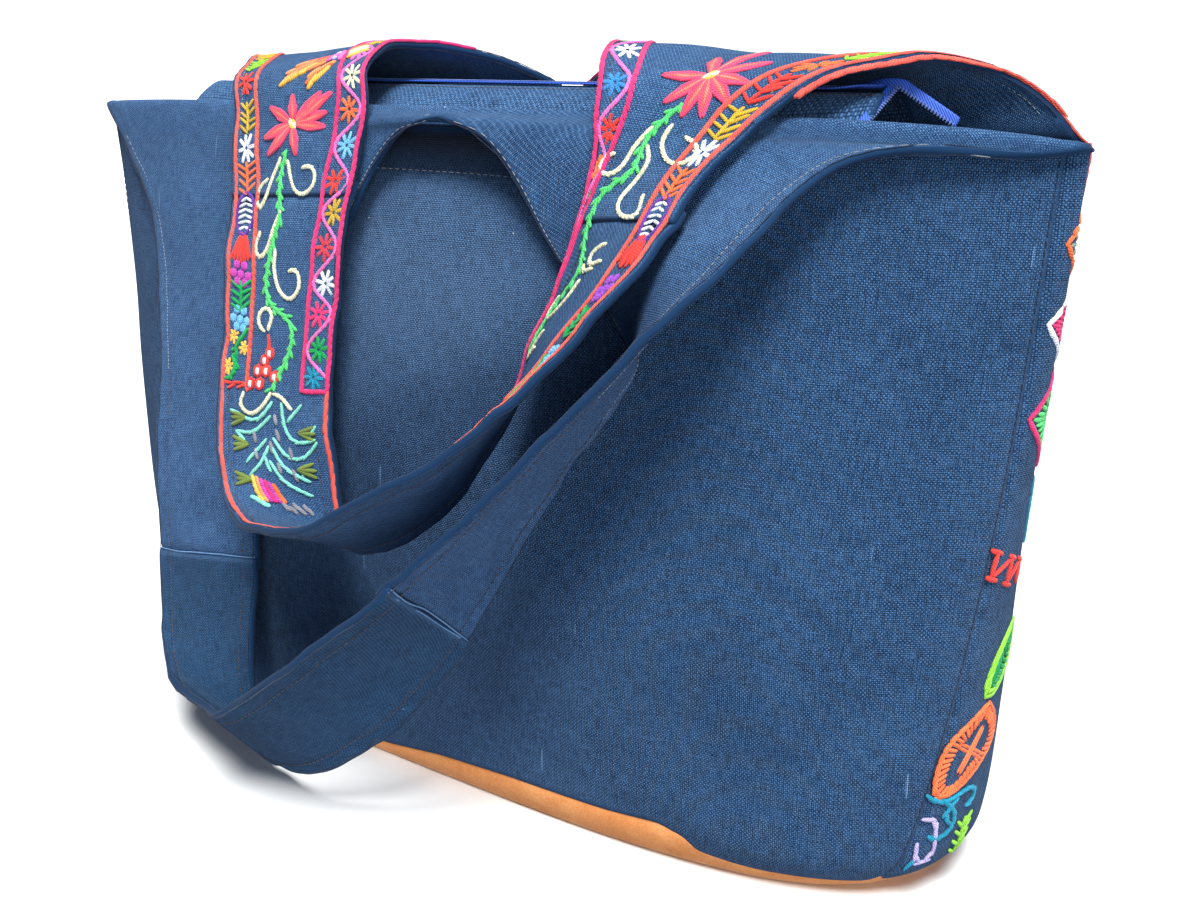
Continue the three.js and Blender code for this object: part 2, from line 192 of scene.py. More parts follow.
@dataclass(frozen=True)
class CanvasFinish:
    """Hand-woven indigo cotton canvas: plain weave, matt, slubby, with pale lint, worn edges and painted
    shade.
    """

    name: str
    deep: str = "09203c"
    mid: str = "2b4866"
    light: str = "5379a3"
    worn: str = "86a9d2"
    lint: str = "b9c4d2"
    edge: str = "1c3856"  # painted shade on the rims of folded edges
    painted_shadow_colour: str = "000e22"  # painted shadow on the cloth under the front neckline
    thread: float = 0.78  # one thread in mm
    slub: float = 7.0  # length of a thick stretch of thread
    patch: float = 40.0  # size of a paler or darker patch
    lint_pitch: float = 26.0  # distance between specks of lint
    drawn: Pair = (11.0, 120.0)  # pitch of the pale drawn threads, across and along
    relief: float = 1.0  # strength of the weave's relief

    def material(self) -> Material:
        """Build the material on the cloth's own UV map, which counts millimetres."""
        material, add, shader = start_material(self.name)
        place = add("TexCoord", {}, "UV")
        scaled = lambda *sizes: add("Mapping", {
            "Vector": place, "Scale": (*(1 / size for size in sizes), 1)})
        waves = [add("Math", {0: add("TexWave", {
            "Vector": place, "Scale": WAVE_PERIOD / (2 * self.thread), "Distortion": 2.2,
            "Detail": 3.0, "Detail Scale": 0.4 / self.thread, "Detail Roughness": 0.7,
        }, "Fac", bands_direction=direction), 1: 0.5}, operation="SUBTRACT") for direction in "XY"]
        product = add("Math", {0: waves[0], 1: waves[1]}, operation="MULTIPLY")
        bump = add("Math", {0: product}, operation="ABSOLUTE")
        grain = add("Math", {0: bump, 1: 4.0}, operation="MULTIPLY")
        over = add("Math", {0: product, 1: 0.0}, operation="GREATER_THAN")
        warp, weft = (add("TexNoise", {
            "Vector": scaled(*sizes), "Scale": 1.0, "Detail": 3.0, "Roughness": 0.7,
        }, "Fac") for sizes in ((self.thread, self.slub), (self.slub, self.thread)))
        streak = add("Mix", {0: over, 2: weft, 3: warp})
        patchy = add("TexNoise", {
            "Vector": place, "Scale": 1 / self.patch, "Detail": 4.0, "Roughness": 0.6}, "Fac")
        tone = add("Math", {0: grain, 1: 0.36, 2: -0.42}, operation="MULTIPLY_ADD")
        for part, weight in ((over, 0.2), (streak, 1.15), (patchy, 0.25)):
            tone = add("Math", {0: part, 1: weight, 2: tone}, operation="MULTIPLY_ADD")
        colour = add("ValToRGB", {0: tone}, stops=((0.25, self.deep), (0.5, self.mid), (0.8, self.light)))
        wear = add("Attribute", {}, "Fac", attribute_name="wear")
        rim = add("Attribute", {}, "Fac", attribute_name="rim")
        speck = add("TexVoronoi", {"Vector": place, "Scale": 1 / self.lint_pitch}, "Distance")
        pale = add("TexVoronoi", {"Vector": scaled(*self.drawn), "Scale": 1.0}, "Distance")
        pale = add("Math", {0: pale, 1: 0.045}, operation="LESS_THAN")
        for share, code in (
                (add("Math", {0: wear, 1: tone}, operation="MULTIPLY"), self.worn),
                # negative values paint the shadow under the front neckline
                (add("Math", {0: wear, 1: -1.0}, operation="MULTIPLY", use_clamp=True), self.painted_shadow_colour),
                (add("Math", {0: speck, 1: 0.014}, operation="LESS_THAN"), self.lint),
                # rim paints shade on the rims of folded edges
                (add("Math", {0: pale, 1: grain}, operation="MULTIPLY"), self.worn), (rim, self.edge)):
            colour = add("Mix", {0: share, 6: colour, 7: linear(code)}, 2, data_type="RGBA")
        height = add("Math", {0: streak, 1: 0.8, 2: grain}, operation="MULTIPLY_ADD")
        strength = add("Math", {0: rim, 1: -self.relief, 2: self.relief}, operation="MULTIPLY_ADD")
        relief = add("Bump", {"Height": height, "Strength": strength, "Distance": 0.35 * MM})
        feed(shader, {"Base Color": colour, "Normal": relief, "Roughness": 0.9, "Specular IOR Level": 0.15,
                      "Sheen Weight": 0.08, "Sheen Roughness": 0.5})
        return material


@dataclass(frozen=True)
class SuedeFinish:
    """Tan split leather with a short brushed nap, blotchy where the nap lies differently."""

    name: str
    dark: str = "cd7e43"
    light: str = "f0ab70"
    nap: float = 0.9  # width of a tuft in mm
    blotch: float = 14.0  # size of a patch of nap that lies one way

    def material(self) -> Material:
        """Build the material on Object coordinates, which count metres."""
        material, add, shader = start_material(self.name)
        place = add("TexCoord", {}, "Object")
        nap, blotch = (add("TexNoise", {
            "Vector": place, "Scale": 1 / (size * MM), "Detail": 4.0, "Roughness": 0.62,
        }, "Fac") for size in (self.nap, self.blotch))
        tone = add("Math", {0: nap, 1: 0.45, 2: 0.02}, operation="MULTIPLY_ADD")
        tone = add("Math", {0: blotch, 1: 0.55, 2: tone}, operation="MULTIPLY_ADD")
        feed(shader, {
            "Base Color": add("ValToRGB", {0: tone}, stops=((0.3, self.dark), (0.68, self.light))),
            "Normal": add("Bump", {"Height": nap, "Strength": 0.5, "Distance": 0.3 * MM}),
            "Roughness": 0.95, "Specular IOR Level": 0.15, "Sheen Weight": 0.2, "Sheen Roughness": 0.4})
        return material


@dataclass(frozen=True)
class YarnFinish:
    """Loosely twisted wool and cotton yarn: soft, matt, with fine strands across each stitch."""

    name: str
    strand: float = 0.55  # width of one strand in mm, drawn coarse so that it shows
    roughness: float = 0.95

    def material(self) -> Material:
        """Build the material from each stitch's own colour and UV map, which counts millimetres."""
        material, add, shader = start_material(self.name)
        dye = add("Attribute", {}, "Color", attribute_name="dye")
        strand = add("TexWave", {
            "Vector": add("TexCoord", {}, "UV"), "Scale": WAVE_PERIOD / self.strand,
            "Distortion": 1.5, "Detail": 1.0,
        }, "Fac", bands_direction="DIAGONAL")
        shade = add("Math", {0: strand, 1: 0.5, 2: 0.64}, operation="MULTIPLY_ADD")
        feed(shader, {
            "Base Color": add("Mix", {0: 1.0, 6: dye, 7: shade}, 2, data_type="RGBA", blend_type="MULTIPLY"),
            "Normal": add("Bump", {"Height": strand, "Strength": 0.8, "Distance": 0.2 * MM}),
            "Roughness": self.roughness, "Specular IOR Level": 0.25, "Sheen Weight": 0.2})
        return material


@dataclass(frozen=True)
class TapeFinish:
    """Violet-blue polyester zip tape: a fine herringbone with a slight gloss."""

    name: str
    dark: str = "1d3f9c"
    light: str = "4d78d6"
    rib: float = 0.8  # width of one rib in mm

    def material(self) -> Material:
        """Build the material on the tape's own UV map, which counts millimetres."""
        material, add, shader = start_material(self.name)
        rib = add("TexWave", {
            "Vector": add("TexCoord", {}, "UV"), "Scale": WAVE_PERIOD / self.rib,
            "Distortion": 0.6, "Detail": 1.0,
        }, "Fac", bands_direction="DIAGONAL")
        feed(shader, {
            "Base Color": add("ValToRGB", {0: rib}, stops=((0.1, self.dark), (0.9, self.light))),
            "Normal": add("Bump", {"Height": rib, "Strength": 0.4, "Distance": 0.2 * MM}),
            "Roughness": 0.55})
        return material


@dataclass(frozen=True)
class CastFinish:
    """Die-cast zinc alloy with a dull antique plating, slightly mottled."""

    name: str
    dark: str = "57513f"
    light: str = "9d9276"
    mottle: float = 2.5  # size of a dull patch in mm

    def material(self) -> Material:
        """Build the material on Object coordinates, which count metres."""
        material, add, shader = start_material(self.name)
        patch = add("TexNoise", {
            "Vector": add("TexCoord", {}, "Object"), "Scale": 1 / (self.mottle * MM), "Detail": 3.0}, "Fac")
        feed(shader, {
            "Base Color": add("ValToRGB", {0: patch}, stops=((0.35, self.dark), (0.7, self.light))),
            "Roughness": add("Math", {0: patch, 1: 0.3, 2: 0.25}, operation="MULTIPLY_ADD"),
            "Metallic": 1.0})
        return material


class Section(NamedTuple):
    """A horizontal section of the body; gusset is half the side piece along the outline."""

    z: float
    width: float
    depth: float
    flat: float
    round: float
    lean: float
    turn: float
    gusset: float


class HandleRow(NamedTuple):
    """A row across a handle: x, height and stand-off of its outer and inner edge."""

    over: float
    ox: float
    oz: float
    oo: float
    ix: float
    iz: float
    io: float


NECK = 12.0  # x of the middle of both necklines
BRIDGE_LOW = 284.3  # lower edge of the front neckline at its middle
BRIDGE_HIGH = 290.0  # upper edge of the back neckline at its middle

SECTIONS = tuple(Section(*row) for row in (
    (0, 398, 118, 3.3, 2.4, 0, 0, 34), (8, 426, 126, 3.4, 2.45, 0, 0, 34),
    (20, 444, 130, 3.5, 2.5, 0, 0, 33), (75, 455, 131, 3.4, 2.4, -2, 0.8, 24),
    (140, 464, 124, 3.0, 2.1, -4.5, 1.7, 14), (210, 478, 102, 2.5, 1.75, -7, 2.6, 9.5),
    (280, 490, 72, 2.0, 1.4, -9, 3.4, 6.5),
))
FRONT_ROWS = tuple(HandleRow(*row) for row in (
    (0, -219, 269, 5, NECK, BRIDGE_LOW, 14.5), (0, -204, 258, 6, -6, 279.5, 11.5),
    (0, -189, 246, 7, -22, 265, 8.5), (0, -172, 221, 9, -35, 240, 7), (0, -158, 186, 13, -62, 198, 7),
    (0, -151, 138, 18, -83, 146, 7), (0, -152, 80, 23, -91, 86, 8), (0, -150, 52, 28, -90, 56, 14),
    (0, -139, 36, 36, -82, 27, 26), (0, -112, 30, 48, -57, 7, 40), (0, -71, 37, 62, -26, 13, 46),
    (0, -38, 51, 72, 2, 28, 45), (0, -10, 70, 77, 22, 44, 40), (0, 23, 97, 76, 38, 64, 32),
    (0, 56, 125, 72, 50, 87, 24), (0, 98, 169, 66, 76, 141, 12), (0, 127, 200, 62, 96, 176, 8),
    (0, 143, 221, 58, 105, 200, 7), (0, 156, 238, 51, 92, 216, 6), (0, 164, 252, 41, 74, 228, 6),
    (0, 172, 266, 27, 62, 240, 7), (0, 184, 275, 16, 49, 260, 10), (0, 206, 278, 10, 33, 277.5, 13.5),
    (0, 236, 275, 5, NECK, BRIDGE_LOW, 14.5),
))
BACK_ROWS = tuple(HandleRow(*row) for row in (
    (1, -222, 280, 0, NECK, BRIDGE_HIGH, 0), (0.92, -196, 284, 0, 0, 298, 0),
    (0.74, -168, 294, 0, -17, 306, 0), (0.48, -142, 302, 0, -34, 311, 0), (0.2, -125, 302, 0, -36, 310, 2),
    (0, -116, 297, 4, -29, 302, 8.5), (0, -109, 285, 12, -24, 288, 16), (0, -102, 247, 16, -28, 252, 16),
    (0, -98, 205, 19, -31, 210, 15), (0, -97, 161, 22, -32, 168, 15), (0, -90, 134, 27, -27, 141, 17),
    (0, -72, 121, 38, -20, 120, 20), (0, -40, 124, 54, -5, 112, 24), (0, 0, 134, 66, 10, 115, 27),
    (0, 40, 153, 70, 28, 126, 26), (0, 76, 174, 66, 45, 146, 21), (0, 97, 196, 61, 62, 180, 17),
    (0, 110, 210, 56, 67, 202, 16), (0, 119, 223, 51, 74, 217, 15), (0, 130, 247, 40, 81, 241, 14),
    (0, 134, 266, 27, 85, 264, 14), (0, 148, 286, 14, 84, 287, 13), (0, 160, 298, 5, 80, 301, 6),
    (0.2, 176, 304, 1, 72, 309, 2), (0.48, 194, 305, 0, 62, 310, 0), (0.74, 210, 302, 0, 47, 305, 0),
    (0.92, 224, 295, 0, 28, 298, 0), (1, 234, 287, 0, NECK, BRIDGE_HIGH, 0),
))


def along(rows: Sequence[Any], key: str | None, places: Array, column: str) -> Array:
    """Read one column of a table on a smooth curve through its rows.

    Args:
        rows: The table.
        key: The column that the places count in, or None to count rows.
        places: Where to read.
        column: The column to read.

    Returns:
        The column's value at each place.
    """
    keys = np.array([getattr(r, key) for r in rows] if key else range(len(rows)), float)
    values = np.array([getattr(r, column) for r in rows], float)
    last = len(keys) - 1
    i = np.clip(np.searchsorted(keys, places) - 1, 0, last - 1)
    low, high = np.maximum(i - 1, 0), np.minimum(i + 2, last)
    step = keys[i + 1] - keys[i]
    start = (values[i + 1] - values[low]) / (keys[i + 1] - keys[low]) * step
    end = (values[high] - values[i]) / (keys[high] - keys[i]) * step
    t = np.clip((places - keys[i]) / step, 0, 1)
    first = values[i] * (1 + 2 * t) * (1 - t) ** 2 + start * t * (1 - t) ** 2
    return first + values[i + 1] * (3 - 2 * t) * t * t + end * (t - 1) * t * t


def soft_noise(u: Array, v: Array, size: float, seed: int) -> Array:
    """Smooth seeded noise from -1 to 1.

    Args:
        u: First coordinate in mm.
        v: Second coordinate in mm.
        size: Distance between the noise's lattice points in mm.
        seed: Seed of the lattice.

    Returns:
        The noise at each point.
    """
    count = 64
    lattice = np.random.default_rng(seed).uniform(-1, 1, (count, count))
    i, j = np.floor(u / size).astype(int), np.floor(v / size).astype(int)
    fu, fv = u / size - i, v / size - j
    fu, fv = fu * fu * (3 - 2 * fu), fv * fv * (3 - 2 * fv)
    corner = lambda a, b: lattice[(i + a) % count, (j + b) % count]
    low = corner(0, 0) * (1 - fu) + corner(1, 0) * fu
    high = corner(0, 1) * (1 - fu) + corner(1, 1) * fu
    return low * (1 - fv) + high * fv


def travel(points: Array) -> Array:
    """Distance of each point along the line through them."""
    return np.r_[0, np.cumsum(np.linalg.norm(np.diff(points, axis=0), axis=1))]


def unit(vectors: Array) -> Array:
    """Vectors of length one in the same directions."""
    return vectors / np.maximum(np.linalg.norm(vectors, axis=-1, keepdims=True), 1e-12)


@dataclass
class BodyForm:
    """The shape of the bag's body."""

    height: float = 280.0
    levels: int = 141
    around: int = 401
    walls: dict[Side, Array] = field(init=False)
    lengths: dict[Side, Array] = field(init=False)

    def __post_init__(self) -> None:
        """Tabulate both sides, evenly along each level's outline from its right end to its left end."""
        self.walls, self.lengths = {}, {}
        heights = np.linspace(0, self.height, self.levels)
        for side in Side:
            wall, length = zip(*(self._outline(side, z) for z in heights))
            self.walls[side], self.lengths[side] = np.array(wall), np.array(length)

    def _outline(self, side: Side, z: float) -> tuple[Array, float]:
        """Points along one side of a section, and its length."""
        level = np.full(self.around, z)
        share = np.cos(np.linspace(0, np.pi, self.around))
        x = share * self.column("width", level) / 2
        y = side.value * self.half_depth(level, share)
        turn = np.radians(self.column("turn", level))
        points = np.stack([
            x * np.cos(turn) - y * np.sin(turn),
            x * np.sin(turn) + y * np.cos(turn) + self.column("lean", level), level], -1)
        travelled = travel(points)
        even = np.linspace(0, travelled[-1], self.around)
        return np.stack([np.interp(even, travelled, c) for c in points.T], -1), travelled[-1]

    def column(self, name: str, z: Array) -> Array:
        """Value of a column of the sections at some heights."""
        return along(SECTIONS, "z", np.clip(z, 0, self.height), name)

    def half_depth(self, z: Array, share: Array) -> Array:
        """Half depth of the body at a share of its half width."""
        edge = np.maximum(0, 1 - np.minimum(1, np.abs(share)) ** self.column("flat", z))
        return self.column("depth", z) / 2 * edge ** (1 / self.column("round", z))

    def y(self, side: Side, x: Array, z: Array) -> Array:
        """y of the front or the back at some places."""
        skew = x * np.sin(np.radians(self.column("turn", z)))
        depth = self.half_depth(z, 2 * x / self.column("width", z))
        return self.column("lean", z) + skew + side.value * depth

    def length(self, side: Side, z: Array) -> Array:
        """Length of one side's outline at some heights."""
        return np.interp(z, np.linspace(0, self.height, self.levels), self.lengths[side])

    def skin(self, side: Side, distance: Array, z: Array) -> Array:
        """Points of a side at a distance from its right end and a height."""
        row = np.clip(z / self.height, 0, 1) * (self.levels - 1)
        spot = np.clip(distance / self.length(side, z), 0, 1) * (self.around - 1)
        i = np.minimum(row.astype(int), self.levels - 2)
        j = np.minimum(spot.astype(int), self.around - 2)
        fi, fj = (row - i)[..., None], (spot - j)[..., None]
        wall = self.walls[side]
        low = wall[i, j] * (1 - fj) + wall[i, j + 1] * fj
        high = wall[i + 1, j] * (1 - fj) + wall[i + 1, j + 1] * fj
        return low * (1 - fi) + high * fi

    def end_skin(self, end: End, reach: Array, z: Array) -> Laid:
        """Points and outward normals round a narrow end of the body.

        Args:
            end: Which end.
            reach: Distance round the outline from the end's middle, negative toward the front.
            z: Height.

        Returns:
            Points and unit normals.
        """
        def point(d: Array, height: Array) -> Array:
            both = []
            for side in Side:
                distance = np.abs(d)
                if end is End.LEFT:
                    distance = self.length(side, height) - distance
                both.append(self.skin(side, distance, height))
            return np.where((d < 0)[..., None], both[0], both[1])

        step = 0.8
        across = point(reach + step, z) - point(reach - step, z)
        upward = point(reach, z + step) - point(reach, z - step)
        return point(reach, z), unit(np.cross(across, upward)) * end.value


@dataclass
class HandleForm:
    """The shape of one handle, as a ribbon from its left root to its right root."""

    body: BodyForm
    rows: Sequence[HandleRow]
    seams: Pair
    seed: int
    samples: int = 40
    waves: tuple[Pair, ...] = ((1.4, 34.0), (0.8, 15.0))  # height and size of the cloth's waves
    pucker: Pair = (0.7, 8.0)  # and of the small waves along its hems
    pucker_width: float = 7.0
    calm: float = 40.0  # length of calm cloth at both roots
    places: Array = field(init=False)
    arcs: Array = field(init=False)
    widths: Array = field(init=False)

    def __post_init__(self) -> None:
        """Measure the ribbon along its middle and across its rows."""
        last = len(self.rows) - 1
        self.places = np.linspace(0, last, last * self.samples + 1)
        middle = self.bare(self.places, np.full(len(self.places), 0.5))
        self.arcs = travel(middle)
        edges = [self.bare(self.places, np.full(len(self.places), share)) for share in (0.0, 1.0)]
        self.widths = np.linalg.norm(edges[0] - edges[1], axis=1)

    def bare(self, place: Array, share: Array) -> Array:
        """Points of the smooth ribbon at places along its rows and shares across it."""
        read = lambda name: along(self.rows, None, place, name)
        mix = lambda a, b: read(a) + (read(b) - read(a)) * share
        x, z, off = mix("ox", "ix"), mix("oz", "iz"), mix("oo", "io")
        front, back = (self.body.y(side, x, z) for side in Side)
        return np.stack([x, front + (back - front) * read("over") - off, z], -1)

    def width(self, arc: Array) -> Array:
        """Width of the ribbon at a distance along it."""
        return np.interp(arc, self.arcs, self.widths)

    def seam(self, number: int) -> float:
        """Distance along the ribbon of the first or second cross seam."""
        return float(np.interp(self.seams[number], self.places, self.arcs))

    def ripple(self, arc: Array, share: Array) -> Array:
        """Small waves of the cloth, in mm, with a closer pucker along its hems."""
        across = share * self.width(arc)
        edge = np.minimum(share, 1 - share) * self.width(arc)
        calm = np.clip(np.minimum(arc, self.arcs[-1] - arc) / self.calm, 0, 1)
        total = 0.0
        for k, (height, size) in enumerate(self.waves):
            total = total + height * soft_noise(arc, across, size, self.seed + k)
        side = np.where(share < 0.5, 0.0, 200.0)  # far apart, so that the two hems differ
        height, size = self.pucker
        near_hem = np.exp(-((edge / self.pucker_width) ** 2))
        return calm * (total + height * soft_noise(arc, side, size, self.seed + len(self.waves)) * near_hem)

    def surface(self, arc: Array, share: Array) -> Laid:
        """Points and normals of the rippled cloth's middle.

        Args:
            arc: Distance along the ribbon.
            share: Share of the way from the outer edge to the inner edge.

        Returns:
            Points, and the unit normals of the face that shows from the front.
        """
        arc, share = np.broadcast_arrays(np.asarray(arc, float), np.asarray(share, float))
        arc = np.clip(arc, 0, self.arcs[-1])
        spot = lambda a, s: self.bare(np.interp(a, self.arcs, self.places), s)
        step, part = 0.6, 0.01
        forward = spot(np.minimum(arc + step, self.arcs[-1]), share) - spot(np.maximum(arc - step, 0), share)
        across = spot(arc, np.minimum(share + part, 1)) - spot(arc, np.maximum(share - part, 0))
        normal = unit(np.cross(forward, across))
        return spot(arc, share) + normal * self.ripple(arc, share)[..., None], normal


def smooth_step(value: Array) -> Array:
    """Ease from 0 to 1 as the value goes from 0 to 1."""
    t = np.clip(value, 0, 1)
    return t * t * (3 - 2 * t)


class Strand(NamedTuple):
    """One long stitch of a loose motif, from its root to its tip."""

    yarn: Yarn
    root: Pair
    tip: Pair


class Patch(NamedTuple):
    """A grid of points on a cloth's middle, with its flat coordinates and what happens at its edges."""

    points: Array
    flat: Array
    hem: Array
    wear: Array

    def turned(self, axis: int) -> "Patch":
        """The same patch with its rows or its columns in the other order, which turns its face."""
        return Patch(*(np.flip(layer, axis) for layer in self))


def plain_patch(points: Array, flat: Array) -> Patch:
    """A patch with no hem, no wear and no painted shadow."""
    shape = points.shape[:2]
    return Patch(points, flat, np.full(shape, FAR), np.zeros(shape))


@dataclass
class Cloth:
    """One cut piece of cloth or suede, laid on its form and given its thickness."""

    name: str
    node: str
    slot: str
    thickness: float
    patches: list[Patch]
    material: Material
    hem_width: float = 8.0  # from a hem's edge to its row of stitches
    hem_rise: float = 0.3
    hem_pinch: float = 0.55

    def build(self) -> Piece:
        """Make the piece.

        Returns:
            The finished object, which replaces its solid.
        """
        sheets = [self._lay(patch) for patch in self.patches]
        bpy.ops.object.select_all(action="DESELECT")
        for sheet in sheets:
            sheet.select_set(True)
        bpy.context.view_layer.objects.active = sheets[0]
        if len(sheets) > 1:
            bpy.ops.object.join()
        piece = sheets[0]
        bpy.ops.object.mode_set(mode="EDIT")
        bpy.ops.mesh.select_all(action="SELECT")
        bpy.ops.mesh.remove_doubles(threshold=0.02 * MM)
        bpy.ops.object.mode_set(mode="OBJECT")
        edge = piece.vertex_groups.new(name="folded_edge")
        wall = piece.modifiers.new("wall", "SOLIDIFY")
        wall.rim_vertex_group = edge.name
        wall.thickness, wall.offset, wall.use_quality_normals = self.thickness * MM, 0, True
        smooth = piece.modifiers.new("smooth", "SUBSURF")
        smooth.levels = smooth.render_levels = 1
        for modifier in ("wall", "smooth"):
            bpy.ops.object.modifier_apply(modifier=modifier)
        # rim: where the solidified faces turn round the cloth's edge; the canvas paints shade there.
        weights = [sum(g.weight for g in vertex.groups) for vertex in piece.data.vertices]
        piece.vertex_groups.clear()
        piece.data.attributes.new("rim", "FLOAT", "POINT").data.foreach_set("value", weights)
        self._press_hems(piece)
        bpy.ops.object.shade_smooth()
        return dress(piece, self.name, self.material, self.node)

    def _lay(self, patch: Patch) -> Piece:
        """Add a flat grid and lay it on a patch's points."""
        rows, columns = patch.points.shape[:2]
        bpy.ops.object.select_all(action="DESELECT")
        bpy.ops.mesh.primitive_grid_add(x_subdivisions=columns - 1, y_subdivisions=rows - 1, size=1)
        sheet = bpy.context.object
        mesh = sheet.data
        mesh.vertices.foreach_set("co", (patch.points * MM).ravel())
        for name, values in (("hem", patch.hem), ("wear", patch.wear)):
            attribute = mesh.attributes.new(name, "FLOAT", "POINT")
            attribute.data.foreach_set("value", values.ravel().astype(np.float32))
        corners = np.zeros(len(mesh.loops), int)
        mesh.loops.foreach_get("vertex_index", corners)
        mesh.uv_layers[0].data.foreach_set("uv", patch.flat.reshape(-1, 2)[corners].ravel())
        return sheet

    def _press_hems(self, piece: Piece) -> None:
        """Raise the doubled hems a little and sink the cloth under their stitches."""
        mesh = piece.data
        count = len(mesh.vertices)
        hem, place, normal = np.zeros(count), np.zeros(count * 3), np.zeros(count * 3)
        mesh.attributes["hem"].data.foreach_get("value", hem)
        mesh.vertices.foreach_get("co", place)
        mesh.vertex_normals.foreach_get("vector", normal)
        rise = self.hem_rise / (1 + np.exp((hem - self.hem_width - 1.2) / 0.4))
        pinch = self.hem_pinch * np.exp(-(((hem - self.hem_width) / 1.1) ** 2))
        lift = (rise - pinch) * MM
        place += normal * np.repeat(lift, 3)
        mesh.vertices.foreach_set("co", place)
        mesh.update()


def dress(piece: Piece, name: str, material: Material,
          node: str | None = None) -> Piece:
    """Name a piece, give it its material and tie it to the bag.

    Args:
        piece: The object.
        name: Its name.
        material: Its material.
        node: The solid that it stands for, if any.

    Returns:
        The same object.
    """
    piece.name = piece.data.name = name
    piece.data.materials.clear()
    piece.data.materials.append(material)
    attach(piece, ROOT)
    if node:
        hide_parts(node)
    LOG.info("%s: %d faces", name, len(piece.data.polygons))
    return piece


